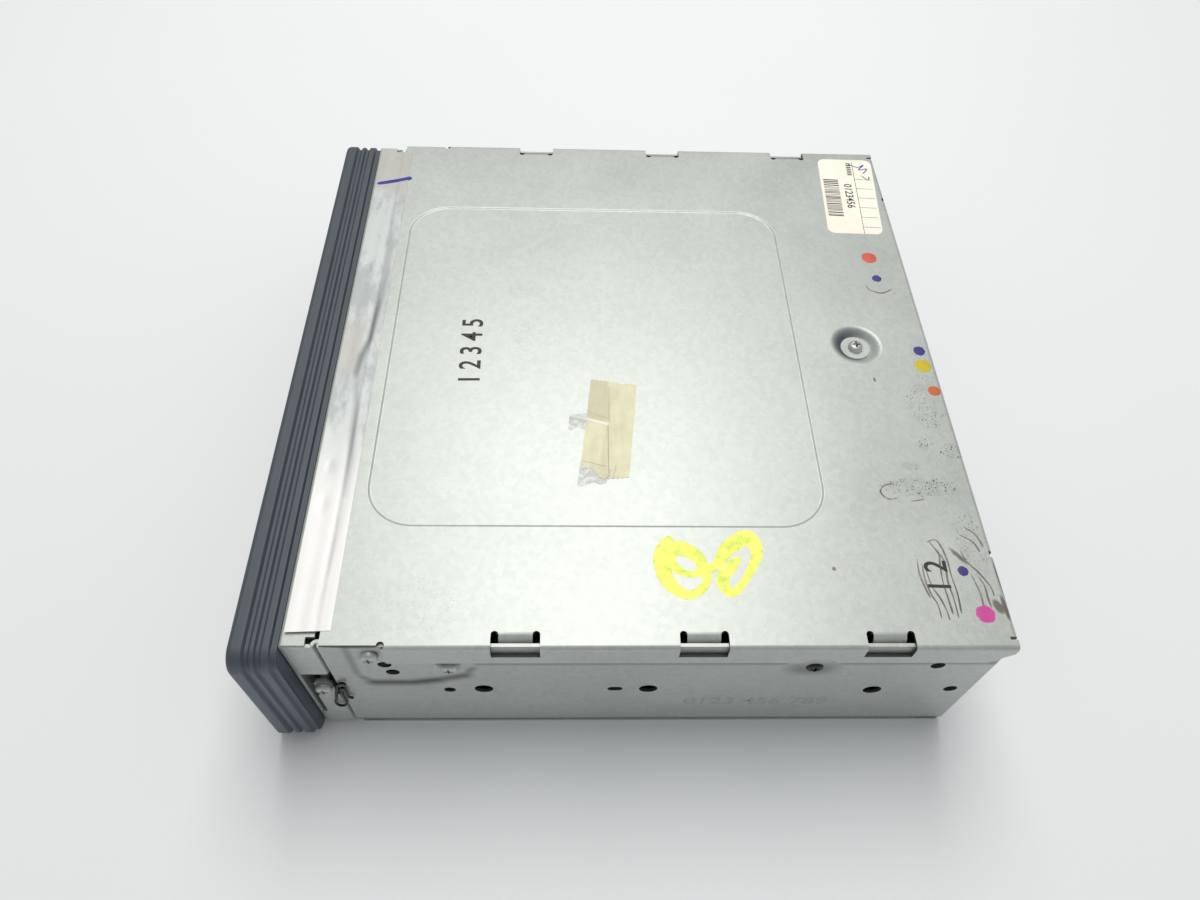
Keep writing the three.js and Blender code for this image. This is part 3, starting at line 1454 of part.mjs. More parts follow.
const lens = piece('pickup_lens', turned([[0, 0], [pickupLensRadius, 0], [pickupLensRadius, pickupLensRim],
  [pickupLensCrownRadius, pickupLensHeight - pickupLensDome], [0, pickupLensHeight]], smallSides),
finish(0xb8c8d8, 0.1, 0), deck);
lens.position.set(0, sledMiddle, towerTop + lensRiseGap);

const rodFrom = windowFront - fit - rodTabThickness - fit;
const rodTo = windowRear + fit + rodTabThickness + fit;
piece('guide_rod_left', barY(rodRadius, rodFrom, rodTo, -rodX, rodZ, smallSides), finish(0xc6c8c8, 0.2, 1),
  deck);
piece('guide_rod_right', barY(rodRadius, rodFrom, rodTo, rodX, rodZ, smallSides), finish(0xc6c8c8, 0.2, 1),
  deck);

const sledMotorRear = sledFront - sledFrontGap * half;
const sledMotorZ = deckUnder - fit - sledMotorRadius;
piece('sled_motor', barY(sledMotorRadius, sledMotorRear - sledMotorLength, sledMotorRear, screwX,
  sledMotorZ, roundSides),
  finish(0x9a9c9e, 0.35, 0.9), deck);

// Lead screw: an eccentric section turned steadily along its length
function leadScrew() {
  const length = rodTo - sledMotorRear - fit;
  const steps = Math.round(length / leadPitch * leadStepsPerTurn);
  const offset = (leadRadius - leadCoreRadius) * half;
  const section = new THREE.Shape();
  section.absarc(offset, 0, leadRadius - offset, 0, Math.PI * 2, false);
  const geometry = new THREE.ExtrudeGeometry(section,
    { depth: length, steps, bevelEnabled: false, curveSegments: leadSides * half });
  const place = geometry.attributes.position;
  const spot = new THREE.Vector3();
  const axis = new THREE.Vector3(0, 0, 1);
  for (let i = 0; i < place.count; i += 1) {
    spot.fromBufferAttribute(place, i);
    spot.applyAxisAngle(axis, -spot.z / leadPitch * Math.PI * 2);
    place.setXYZ(i, spot.x, spot.y, spot.z);
  }
  return geometry.rotateX(-Math.PI / 2);
}

const lead = piece('lead_screw', leadScrew(), finish(0xc6c8c8, 0.25, 1), deck);
lead.position.set(screwX, sledMotorRear + fit, rodZ);

// The origin is the centre of the underside
const bounds = new THREE.Box3().setFromObject(unit);
unit.position.y = -(bounds.min.y + bounds.max.y) * half;

const player = new THREE.Group();
player.add(unit);

export default player;
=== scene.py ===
"""Looks of a dashboard disc player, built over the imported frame: zinc case, ribbed bezel, tapes and marks."""

import math
import random

import bmesh
import bpy
import numpy as np
from bpy.props import BoolProperty, FloatProperty, FloatVectorProperty, IntProperty, PointerProperty
from mathutils import Euler, Matrix, Vector, geometry


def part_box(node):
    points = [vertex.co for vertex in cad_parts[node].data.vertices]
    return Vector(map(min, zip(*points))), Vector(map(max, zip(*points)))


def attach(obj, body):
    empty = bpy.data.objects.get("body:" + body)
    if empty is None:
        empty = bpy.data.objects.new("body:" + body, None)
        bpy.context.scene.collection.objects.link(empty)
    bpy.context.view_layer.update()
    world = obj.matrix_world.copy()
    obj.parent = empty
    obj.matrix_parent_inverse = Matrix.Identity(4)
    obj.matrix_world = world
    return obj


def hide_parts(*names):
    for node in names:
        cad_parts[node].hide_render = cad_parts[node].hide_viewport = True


bl_info = {
    "name": "Dashboard disc player",
    "version": (1, 0, 0),
    "blender": (4, 5, 0),
    "location": "View3D > Sidebar > Disc player",
    "description": "Builds the case, bezel, tapes, fittings and stage of a dashboard disc player",
    "category": "Object",
}

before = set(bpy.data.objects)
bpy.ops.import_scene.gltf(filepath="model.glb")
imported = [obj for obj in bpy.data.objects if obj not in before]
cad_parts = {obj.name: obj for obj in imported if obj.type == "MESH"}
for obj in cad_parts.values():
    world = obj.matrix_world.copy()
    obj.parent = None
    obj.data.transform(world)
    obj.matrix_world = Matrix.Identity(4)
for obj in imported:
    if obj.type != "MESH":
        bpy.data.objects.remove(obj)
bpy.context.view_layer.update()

MM = 0.001


def cad_box(node):
    """Lowest and highest corner of a CAD node in millimetres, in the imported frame."""
    low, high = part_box(node)
    return Vector(low) / MM, Vector(high) / MM


# Places of the case in millimetres: x across, y behind the front edge of the lid, z up
LID_BOX = cad_box("top_cover")
FRONT_EDGE = LID_BOX[0].y
LID_TOP = LID_BOX[1].z
LID_HALF = LID_BOX[1].x
LID_LENGTH = LID_BOX[1].y - FRONT_EDGE
WALL_BOX = cad_box("bottom_cover")
WALL_OUTER = WALL_BOX[1].x
BEZEL_BOX = cad_box("front_bezel")

# Sizes of the pressed case, in millimetres
LID_CORNER = 13.4
LID_FLAT = LID_HALF - 1
FLANGE_BOTTOM = LID_BOX[0].z
FLANGE_CHAMFER = 5
REAR_FLANGE_BOTTOM = 43.5
REAR_FLANGE_HALF = 86
RELIEF_RADIUS = 0.9
CLIP_STARTS = (37.4, 79.5, 121.6)
CLIP_WIDTH = 11
CLIP_SLOT = 1.7
CLIP_ROOT = 84.6
CLIP_BEND = 2.2
CLIP_DROP = 6.6
CLIP_WINDOW_BOTTOM = 46.3
PANEL_HALF = 58
PANEL_FRONT = 5
PANEL_REAR = 118.4
DIMPLE = (-2, 135.4)
NOTCH_X = 64.9
NOTCH_WIDTH = 1.6
BOSS = (112.2, 38.8)
BOSS_RISE = 0.5
BOSS_NOTCH_HALF = 3.9
BOSS_NOTCH_HEIGHT = 2.2

WALL_FRONT = -0.6
WALL_BOTTOM = 1.1
WALL_TOP = 49.7
WALL_REAR = LID_LENGTH - 1.1
WALL_FOLD = 1
WALL_LIP = 7
WALL_START = WALL_BOTTOM + WALL_FOLD
WALL_HOLES = (
    (34.1, 23.8, 2.3), (74.4, 23.6, 2.3), (130.5, 22.5, 2.3), (25.8, 23.2, 1.45), (150.1, 23.1, 1.7),
    (12.7, 40.2, 1.6), (13.9, 35.7, 1.6), (141.7, 38.3, 1.7), (9.6, 42.7, 1.5),
)
WALL_SLOT = (66.2, 23.6, 3.7, 2.4)
PAD_OUTLINE = (
    (5.7, 60), (5.7, 32.8), (8.6, 29.3), (18, 29.3), (23.5, 30.8), (30, 33.4), (31.4, 36), (31.4, 42),
    (14.6, 42), (11.6, 45), (11.6, 60),
)
PAD_HEIGHT = 0.34
RECESS = (27.2, 38.9, 4.4, 4.6)
RECESS_CORNER = 0.8

BACK_HALF = 86.8
BEAD_MIDDLES = (17, 131)
BEAD_HALF = 70
BEAD_RISE = 0.7
BEAD_SLOPE = 1.8

# Screws on the right, mirrored on the left: what each holds, and its place
SIDE_SCREWS = {"pad": (WALL_OUTER + 0.4, 10.2, 45.8), "recess": (WALL_OUTER, 27.2, 38.6),
               "bracket": (88.1, -4.1, 26)}
WASHER_DROP, WASHER_THICKNESS = 1.93, 0.36

# Small helpers: numbers, outlines and meshes


def smooth(share):
    """Eases a share from 0 to 1."""
    share = min(max(share, 0), 1)
    return share * share * (3 - 2 * share)


def arc(x, y, radius, start, end, steps):
    """Points on an arc, with its angles in degrees."""
    turns = [math.radians(start + (end - start) * i / steps) for i in range(steps + 1)]
    return [(x + radius * math.cos(turn), y + radius * math.sin(turn)) for turn in turns]


def circle(x, y, radius, steps=28):
    """A closed ring of points."""
    return arc(x, y, radius, 0, 360 * (steps - 1) / steps, steps - 1)


def rounded(x0, x1, y0, y1, radius, steps=8):
    """A rectangle with round corners, as a closed ring of points."""
    radius = min(radius, (x1 - x0) / 2 - 1e-4, (y1 - y0) / 2 - 1e-4)
    ring = []
    for x, y, start in ((x1 - radius, y0 + radius, -90), (x1 - radius, y1 - radius, 0),
                        (x0 + radius, y1 - radius, 90), (x0 + radius, y0 + radius, 180)):
        ring += arc(x, y, radius, start, start + 90, steps)
    return ring


def rounded_distance(x, y, middle, half_width, half_length, radius):
    """Distance from a rounded rectangle, negative inside it."""
    dx = abs(x - middle[0]) - half_width + radius
    dy = abs(y - middle[1]) - half_length + radius
    return math.hypot(max(dx, 0), max(dy, 0)) + min(max(dx, dy), 0) - radius


def outline_distance(x, y, outline):
    """Distance from a closed outline, negative inside it."""
    least, inside = 1e9, False
    for i, (ax, ay) in enumerate(outline):
        bx, by = outline[i - 1]
        ex, ey = bx - ax, by - ay
        along = min(max(((x - ax) * ex + (y - ay) * ey) / (ex * ex + ey * ey), 0), 1)
        least = min(least, math.hypot(x - ax - ex * along, y - ay - ey * along))
        if (ay > y) != (by > y) and x < ax + (y - ay) * ex / ey:
            inside = not inside
    return -least if inside else least


def inside_ring(points, ring):
    """Which of the points lie inside a closed ring."""
    inside = np.zeros(len(points), bool)
    for i, (ax, ay) in enumerate(ring):
        bx, by = ring[i - 1]
        if ay == by:
            continue
        crossing = (ay > points[:, 1]) != (by > points[:, 1])
        inside ^= crossing & (points[:, 0] < ax + (points[:, 1] - ay) * (bx - ax) / (by - ay))
    return inside


def flat_pattern(outline, holes=(), lines=(), spots=()):
    """Triangulates a flat outline with holes. Lines and spots add points where the sheet bends or bulges."""
    points, edges = [], []
    for loop in [outline, *holes]:
        first = len(points)
        points += loop
        edges += [(first + i, first + (i + 1) % len(loop)) for i in range(len(loop))]
    for line in lines:
        first = len(points)
        points += line
        edges += [(first + i, first + i + 1) for i in range(len(line) - 1)]
    points += spots
    made = geometry.delaunay_2d_cdt([Vector(point) for point in points], edges, [], 0, 1e-4)
    corners = np.array([tuple(corner) for corner in made[0]])
    faces = np.array(made[2])
    middles = corners[faces].mean(axis=1)
    kept = inside_ring(middles, outline)
    for hole in holes:
        kept &= ~inside_ring(middles, hole)
    return corners.tolist(), faces[kept].tolist()


def ring_lines(x0, x1, y0, y1, radius, insets, steps):
    """Closed lines round a rounded rectangle, each at its own inset."""
    rings = [rounded(x0 + inset, x1 - inset, y0 + inset, y1 - inset, radius - inset, steps)
             for inset in insets]
    return [ring + ring[:1] for ring in rings]


def turned_over(faces):
    """The same faces, seen from their other side."""
    return [face[::-1] for face in faces]


def grid_spots(x0, x1, y0, y1, pitch):
    """Evenly spaced points in a rectangle."""
    across = max(int(round((x1 - x0) / pitch)), 1)
    along = max(int(round((y1 - y0) / pitch)), 1)
    return [(x0 + (x1 - x0) * i / across, y0 + (y1 - y0) * j / along)
            for i in range(across + 1) for j in range(along + 1)]


def scene_point(point):
    """Turns a place on the case, in millimetres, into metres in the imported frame."""
    return (point[0] * MM, (point[1] + FRONT_EDGE) * MM, point[2] * MM)


def new_object(name, points, faces, coat):
    """A mesh object made of points on the case in millimetres."""
    mesh = bpy.data.meshes.new(name)
    mesh.from_pydata([scene_point(point) for point in points], [], faces)
    if faces:
        used = bmesh.new()
        used.from_mesh(mesh)
        bmesh.ops.delete(used, geom=[vert for vert in used.verts if not vert.link_faces], context="VERTS")
        used.to_mesh(mesh)
        used.free()
    if coat:
        mesh.materials.append(coat)
    return placed(name, mesh)


def baked(piece):
    """Turns an object's modifiers into plain mesh."""
    bpy.context.view_layer.update()
    graph = bpy.context.evaluated_depsgraph_get()
    mesh = bpy.data.meshes.new_from_object(piece.evaluated_get(graph))
    piece.modifiers.clear()
    piece.data = mesh
    return piece


def softened(piece, sharp=38):
    """Smooth shading that keeps sharp folds, with normals that follow the large faces."""
    piece.data.shade_smooth()
    piece.data.set_sharp_from_angle(angle=math.radians(sharp))
    weighted = piece.modifiers.new("normals", "WEIGHTED_NORMAL")
    weighted.keep_sharp = True
    weighted.weight = 80
    return piece


def thickened(piece, thickness, sharp=38, edge=None):
    """Gives a sheet its thickness behind its outer face, and its cut edges a finish of their own."""
    solidify = piece.modifiers.new("thickness", "SOLIDIFY")
    solidify.thickness = thickness * MM
    solidify.offset = -1
    if edge:
        piece.data.materials.append(edge)
        solidify.material_offset_rim = 1
    return softened(baked(piece), sharp)


def pressed(name, points, faces, coat, thickness):
    """A sheet as plain mesh, ready to be joined to others."""
    return baked(thickened(new_object(name, points, faces, coat), thickness))


def placed(name, data):
    """An object in the scene for a mesh, curve, lamp or camera."""
    piece = bpy.data.objects.new(name, data)
    bpy.context.scene.collection.objects.link(piece)
    return piece


def merged(name, pieces):
    """Joins objects into one, with each one's materials."""
    joined = bmesh.new()
    materials = []
    for piece in pieces:
        start = len(joined.faces)
        joined.from_mesh(piece.data)
        joined.faces.ensure_lookup_table()
        for face in joined.faces[start:]:
            material = piece.data.materials[face.material_index]
            if material not in materials:
                materials.append(material)
            face.material_index = materials.index(material)
        bpy.data.objects.remove(piece)
    mesh = bpy.data.meshes.new(name)
    joined.to_mesh(mesh)
    joined.free()
    for material in materials:
        mesh.materials.append(material)
    return placed(name, mesh)


def mirrored(points, faces):
    """The same mesh on the other side of the case."""
    return [(-x, y, z) for x, y, z in points], turned_over(faces)


def swept(profile, path, closed=False, capped=False):
    """Faces between copies of a profile that path, a list of functions of a profile point, places."""
    points = [place(point) for place in path for point in profile]
    count = len(profile)
    rings = len(path)
    faces = []
    for i in range(rings if closed else rings - 1):
        for j in range(count):
            a, b = i * count + j, i * count + (j + 1) % count
            c, d = (i + 1) % rings * count + (j + 1) % count, (i + 1) % rings * count + j
            faces.append([a, b, c, d])
    if capped:
        faces.append(list(range(count))[::-1])
        faces.append([(rings - 1) * count + j for j in range(count)])
    return points, faces


def outward(piece):
    """Makes all faces point outwards."""
    shell = bmesh.new()
    shell.from_mesh(piece.data)
    bmesh.ops.remove_doubles(shell, verts=shell.verts, dist=1e-7)
    bmesh.ops.recalc_face_normals(shell, faces=shell.faces)
    shell.to_mesh(piece.data)
    shell.free()
    return piece


def rounded_edges(piece, width, segments=2, limit=40):
    """Rounds an object's sharp edges."""
    bevel = piece.modifiers.new("edges", "BEVEL")
    bevel.width = width * MM
    bevel.segments = segments
    bevel.limit_method = "ANGLE"
    bevel.angle_limit = math.radians(limit)
    bevel.harden_normals = False
    return softened(baked(piece))


def box_faces(x0, x1, y0, y1, z0, z1):
    """Points and faces of a block."""
    points = [(x, y, z) for z in (z0, z1) for y in (y0, y1) for x in (x0, x1)]
    faces = [[0, 2, 3, 1], [4, 5, 7, 6], [0, 1, 5, 4], [1, 3, 7, 5], [3, 2, 6, 7], [2, 0, 4, 6]]
    return points, faces


def block(name, box, coat, edge, segments=2):
    """A block with rounded edges, between its lowest and highest x, y and z."""
    return rounded_edges(new_object(name, *box_faces(*box), coat), edge, segments)


def standing(corners, y):
    """Pattern points stood upright at a place behind the lid's front edge."""
    return [(x, y, z) for x, z in corners]


def fixed(piece, body, slot, *nodes):
    """Settles a piece on the body it rides on and hides the CAD nodes it stands for. Its slot is not used."""
    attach(piece, body)
    if nodes:
        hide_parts(*nodes)
    return piece


# Node trees: values that Python's operators turn into nodes


def math_node(operation, reflected=False):
    """A method that adds a Math node, with its own value first or, reflected, last."""
    def method(self, *others):
        values = (*others, self) if reflected else (self, *others)
        return self.nodes.node("ShaderNodeMath", values, operation=operation)
    return method


class Value:
    """A value in a node tree. Its operators and methods add Math nodes."""

    __add__ = __radd__ = math_node("ADD")
    __sub__ = math_node("SUBTRACT")
    __rsub__ = math_node("SUBTRACT", True)
    __mul__ = __rmul__ = math_node("MULTIPLY")
    __truediv__ = math_node("DIVIDE")
    __rtruediv__ = math_node("DIVIDE", True)
    __pow__ = math_node("POWER")
    __abs__ = math_node("ABSOLUTE")
    least = math_node("MINIMUM")
    most = math_node("MAXIMUM")
    over = math_node("GREATER_THAN")
    sine = math_node("SINE")

    def __init__(self, nodes, socket):
        self.nodes = nodes
        self.socket = socket

    def between(self, low, high):
        """Eases from 0 at low to 1 at high."""
        return self.nodes.node("ShaderNodeMapRange", {"Value": self, "From Min": low, "From Max": high},
                               interpolation_type="SMOOTHSTEP")


class Nodes:
    """A node tree, with one method that adds any node."""

    def node(self, kind, values=(), output=0, **settings):
        """Adds a node: its settings first, then values or links for its sockets. Returns one output."""
        made = self.tree.nodes.new(kind)
        for name, setting in settings.items():
            setattr(made, name, setting)
        pairs = values.items() if isinstance(values, dict) else enumerate(values)
        for key, value in pairs:
            self.feed(made.inputs[key], value)
        return Value(self, made.outputs[output])

    def feed(self, socket, value):
        """Links or sets one socket."""
        if isinstance(value, Value):
            self.tree.links.new(value.socket, socket)
        elif isinstance(value, (tuple, list)) and len(value) == 3 and socket.type == "RGBA":
            socket.default_value = (*value, 1)
        else:
            socket.default_value = value

    def parts(self, vector):
        """The three parts of a vector."""
        split = self.node("ShaderNodeSeparateXYZ", (vector,)).socket.node
        return [Value(self, split.outputs[i]) for i in range(3)]


class Shader(Nodes):
    """A material. Its x, y and z are the place in millimetres, behind the front edge of the lid."""

    def __init__(self, name):
        self.material = bpy.data.materials.new(f"{name} finish")
        self.material.use_nodes = True
        self.tree = self.material.node_tree
        self.base = self.tree.nodes["Principled BSDF"]
        self.place = self.node("ShaderNodeTexCoord", output="Object")
        self.x, self.y, self.z = [part * (1 / MM) - start
                                  for part, start in zip(self.parts(self.place), (0, FRONT_EDGE, 0))]

    def stretched(self, x=1.0, y=1.0, z=1.0):
        """The place, squeezed or stretched along each axis."""
        return self.node("ShaderNodeVectorMath", (self.place, (x, y, z)), operation="MULTIPLY")

    def noise(self, grain, detail=2.0, roughness=0.5, place=None, distortion=0.0):
        """Noise whose features are about grain millimetres wide."""
        values = {"Vector": place or self.place, "Scale": 1 / (grain * MM), "Detail": detail,
                  "Roughness": roughness, "Distortion": distortion}
        return self.node("ShaderNodeTexNoise", values, "Fac")

    def attribute(self, name):
        """A value that the mesh holds at each point."""
        return self.node("ShaderNodeAttribute", {}, "Fac", attribute_name=name)

    def specks(self, pitch, radius, share):
        """Small dots, about pitch millimetres apart, in a share of the cells."""
        values = {"Vector": self.place, "Scale": 1 / (pitch * MM)}
        cell = self.node("ShaderNodeTexVoronoi", values).socket.node
        chosen = self.node("ShaderNodeSeparateColor", (Value(self, cell.outputs["Color"]),))
        size = chosen * (radius / pitch / share)
        away = Value(self, cell.outputs["Distance"])
        return away.between(size, size * 0.6) * (chosen * -1 + share).over(0)

    def beside(self, first, second, radius, across=None, up=None):
        """How near each place is to a line between two points, from 1 on it to 0 at a radius."""
        across, up = across or self.x, up or self.y
        run, rise = second[0] - first[0], second[1] - first[1]
        length = run * run + rise * rise
        share = (((across - first[0]) * run + (up - first[1]) * rise) * (1 / length)).most(0).least(1)
        away = ((across - first[0] - share * run) ** 2 + (up - first[1] - share * rise) ** 2) ** 0.5
        return away.between(radius, 0)

    def mix(self, share, first, second):
        """Mixes two colours."""
        made = self.tree.nodes.new("ShaderNodeMix")
        made.data_type = "RGBA"
        made.clamp_factor = True
        self.feed(made.inputs["Factor"], share)
        self.feed(made.inputs[6], first)
        self.feed(made.inputs[7], second)
        return Value(self, made.outputs[2])

    def bump(self, height, strength, distance):
        """A normal from a height, with distance in millimetres."""
        values = {"Height": height, "Strength": strength, "Distance": distance * MM}
        return self.node("ShaderNodeBump", values, "Normal")

    def glow(self, colour, strength):
        """Gives the surface a faint light of its own."""
        self.base.inputs["Emission Color"].default_value = (*colour, 1)
        self.base.inputs["Emission Strength"].default_value = strength

    def finish(self, **values):
        """Feeds the surface's sockets, named with underscores for spaces, and returns the material."""
        for name, value in values.items():
            self.feed(self.base.inputs[name.replace("_", " ")], value)
        return self.material


class Tree(Nodes):
    """A Geometry Nodes tree with named sizes."""

    def __init__(self, name):
        self.tree = bpy.data.node_groups.new(name, "GeometryNodeTree")
        self.tree.interface.new_socket("Geometry", in_out="INPUT", socket_type="NodeSocketGeometry")
        self.tree.interface.new_socket("Geometry", in_out="OUTPUT", socket_type="NodeSocketGeometry")
        self.source = self.tree.nodes.new("NodeGroupInput")
        self.result = self.tree.nodes.new("NodeGroupOutput")

    def size(self, name, default, kind="NodeSocketFloat"):
        """Adds a named input."""
        socket = self.tree.interface.new_socket(name, in_out="INPUT", socket_type=kind)
        socket.default_value = default
        return Value(self, self.source.outputs[name])

    def geometry(self, kind, values=(), **settings):
        """Adds one of the geometry nodes."""
        return self.node("GeometryNode" + kind, values, **settings)

    def vector(self, x, y, z):
        """A vector of three values."""
        return self.node("ShaderNodeCombineXYZ", (x, y, z))

    def real(self, geometry, coat):
        """Ends the tree in real geometry with one material."""
        whole = self.geometry("RealizeInstances", (geometry,))
        dressed = self.geometry("SetMaterial", {"Geometry": whole, "Material": coat})
        self.feed(self.result.inputs[0], dressed)

    def made(self, name, host=None, **sizes):
        """The plain mesh that the tree makes of a host. Sizes are set by their sockets' identifiers."""
        piece = host or new_object(name, [], [], None)
        modifier = piece.modifiers.new("tree", "NODES")
        modifier.node_group = self.tree
        for item in self.tree.interface.items_tree:
            if item.in_out == "INPUT" and item.name.lower().replace(" ", "_") in sizes:
                modifier[item.identifier] = sizes[item.name.lower().replace(" ", "_")]
        baked(piece)
        if piece.data.materials and piece.data.materials[0] is None:
            piece.data.materials.pop(index=0)
        return piece


def linear(red, green, blue):
    """A colour written as it looks, from 0 to 255, as the shader's linear numbers."""
    return tuple(((part / 255 + 0.055) / 1.055) ** 2.4 if part > 10 else part / 3294.6
                 for part in (red, green, blue))


def tinted(name, default, description):
    """A colour property."""
    return FloatVectorProperty(name=name, description=description, subtype="COLOR", size=3, min=0, max=1,
                               default=linear(*default))


def number(name, default, low, high, description, **settings):
    """A number property."""
    return FloatProperty(name=name, description=description, default=default, min=low, max=high, **settings)


def millimetres(name, default, low, high, description):
    """A length property, with its numbers in millimetres."""
    return number(name, default * MM, low * MM, high * MM, description, precision=5, unit="LENGTH")


# Settings


class CaseSettings(bpy.types.PropertyGroup):
    """Sizes and colours of the pressed case."""

    sheet: millimetres("Sheet", 0.8, 0.2, 2, "Thickness of the sheet metal")
    bend: millimetres("Bend radius", 1.2, 0.8, 3, "Outer radius of the lid's folds")
    panel_depth: millimetres("Panel depth", 0.34, 0, 1, "Depth of the lid's large panel")
    panel_edge: millimetres("Panel edge", 0.8, 0.3, 4, "Width of the panel's sloping edge")
    panel_corner: millimetres("Panel corner", 12, 2, 30, "Corner radius of the panel")
    dimple_radius: millimetres("Dimple radius", 7.4, 4, 12, "Radius of the screw dimple")
    dimple_flat: millimetres("Dimple floor", 3.9, 2, 10, "Radius of the dimple's flat floor")
    dimple_depth: millimetres("Dimple depth", 2, 0, 3, "Depth of the screw dimple")
    zinc: tinted("Zinc", (204, 210, 206), "Colour of the zinc plate")
    speckle: number("Speckle", 1, 0, 1, "Strength of the zinc plate's grain")


class BezelSettings(bpy.types.PropertyGroup):
    """Sizes and colours of the bezel and the front face."""

    wall: millimetres("Wall", 3.2, 1, 6, "Thickness of the bezel's ring")
    corner: millimetres("Corner", 5, 3.5, 15, "Outer corner radius")
    groove: millimetres("Groove depth", 0.9, 0, 2, "Depth of the grooves between the ribs")
    steps: IntProperty(name="Corner steps", description="Steps round each corner", default=10, min=3, max=32)
    colour: tinted("Bezel", (72, 81, 92), "Colour of the bezel's plastic")
    face_colour: tinted("Face", (44, 47, 52), "Colour of the front face")


class MarkSettings(bpy.types.PropertyGroup):
    """Sizes and colours of the tapes and marks."""

    tape_lift: millimetres("Tape film", 0.08, 0.02, 0.2, "Thickness of the clear tape")
    tape_colour: tinted("Clear tape", (252, 244, 208), "Colour of the aged clear tape")
    paper: tinted("Paper", (255, 250, 234), "Colour of the label's paper")
    highlighter: tinted("Highlighter", (255, 255, 122), "Colour of the loose scribble")
    pen: tinted("Pen", (58, 62, 176), "Colour of the pen stroke")
    show_marks: BoolProperty(name="Marks", description="Adds paint dots and pen strokes", default=True)


class StageSettings(bpy.types.PropertyGroup):
    """Floor, light and camera."""

    floor: tinted("Floor", (245, 248, 251), "Colour of the floor")
    lamp_power: number("Lamp", 6.6, 0, 100, "Power of the overhead lamp", unit="POWER")
    world_strength: number("Surround", 0.3, 0, 2, "Strength of the surrounding light")
    lens: number("Lens", 26.497, 10, 100, "Focal length of the camera", unit="CAMERA")


# Finishes

# Painted shade on the walls: soft dark lines along the pad's edges, the boss, the screw recess, under the
# flange and along the foot, where they turn from the light: ends, radius, depth
WALL_SHADES = (
    ((6.4, 32), (8.6, 28.8), 2.4, 0.5), ((8.6, 28.6), (18, 28.6), 3.9, 0.9),
    ((18, 28.6), (23.6, 30.2), 3.9, 0.95), ((23.6, 30.2), (30, 32.8), 3.5, 0.8),
    ((30, 33), (32.4, 37), 2, 0.5), ((5.4, 34), (5.4, 49), 1.6, 0.4),
    ((25.6, 40.4), (28.8, 40.4), 1.8, 1.0), ((109.8, 37), (114.6, 37), 6.2, 0.55),
    ((34, 39.9), (105, 39.9), 1.7, 0.5), ((119, 39.9), (155.2, 39.9), 1.7, 0.5),
    ((-1, 2), (156, 2), 0.9, 0.3),
)
# Speckled dirt on the lid: middle across and along, half sizes, strength
LID_DIRT = (
    (46, 142.5, 3.1, 10.5, 1.0), (33, 147.5, 2.2, 2.8, 0.9), (34.8, 153.6, 2.6, 3, 1.0),
    (39.6, 141.6, 1.4, 2.6, 0.9), (20, 150, 9, 5.5, 0.55), (38, 151, 14, 5, 0.3),
    (62, 151.5, 10, 4.5, 0.5), (79, 148, 8, 8, 0.3), (-4, 42, 6, 5, 0.35),
    (-22, 40, 4, 4, 0.3), (10, 153, 16, 4, 0.4), (80, 20, 9, 16, 0.3),
)
# Brown stains: middle, half sizes, turn in degrees
LID_STAINS = (
    (65.5, 147.6, 3.2, 0.7, 38), (79, 155.2, 3.6, 0.6, 4), (78.6, 153.6, 2, 1.1, 20), (72, 155.8, 6, 0.35, 3),
    (11, 138, 1, 0.4, 0), (69, 117, 0.6, 0.5, 0),
)

# Finishes of one colour: colour, metallic, roughness, grain in millimetres, depth of the grain
PLAIN_FINISHES = {
    "screw_steel": ((206, 209, 206), 0.5, 0.42, 0.5, 0.01),
    "black_screw": ((46, 47, 50), 0.6, 0.36, 0.4, 0.01),
    "washer_steel": ((206, 212, 210), 0.4, 0.4, 0.5, 0.01),
    # Cut edges: darker grey for the bare sheet edge, and painted shade inside the holes and along the flanges'
    # lower edges.
    "cut_edge": ((84, 88, 88), 0.3, 0.5, 0.3, 0.02),
    "spring_wire": ((20, 20, 22), 0.5, 0.3, 0.6, 0.01),
    "cast_aluminium": ((176, 178, 176), 0.9, 0.42, 0.35, 0.03),
    "contact_brass": ((214, 178, 96), 1.0, 0.25, 0.3, 0.01),
    "shaft_steel": ((204, 206, 204), 1.0, 0.2, 0.4, 0.005),
    "motor_can": ((182, 184, 181), 1.0, 0.34, 0.3, 0.01),
    "dark_plastic": ((38, 40, 43), 0.0, 0.46, 0.25, 0.02),
    "white_plastic": ((232, 230, 221), 0.0, 0.42, 0.5, 0.01),
    "gear_plastic": ((222, 219, 205), 0.0, 0.38, 0.4, 0.01),
    "damper_rubber": ((34, 33, 34), 0.0, 0.72, 0.4, 0.04),
    "roller_rubber": ((52, 50, 50), 0.0, 0.78, 0.25, 0.04),
    "fuse_plastic": ((206, 168, 44), 0.0, 0.3, 0.7, 0.005),
    "capacitor_sleeve": ((34, 44, 84), 0.0, 0.34, 0.6, 0.008),
    "cable_film": ((228, 227, 219), 0.0, 0.4, 0.8, 0.01),
    "stamp_ink": ((52, 53, 56), 0.0, 0.55, 0.25, 0.0),
    "label_ink": ((64, 64, 70), 0.0, 0.5, 0.2, 0.0),
    "red_paint": ((236, 104, 88), 0.0, 0.45, 0.3, 0.004),
    "blue_paint": ((72, 64, 148), 0.0, 0.45, 0.3, 0.004),
    "yellow_paint": ((224, 204, 44), 0.0, 0.45, 0.3, 0.004),
    "orange_paint": ((222, 116, 66), 0.0, 0.45, 0.3, 0.004),
    "pink_paint": ((232, 88, 178), 0.0, 0.45, 0.3, 0.004),
}


def shade(colour, share):
    """A colour made lighter or darker."""
    return tuple(min(part * share, 1) for part in colour)


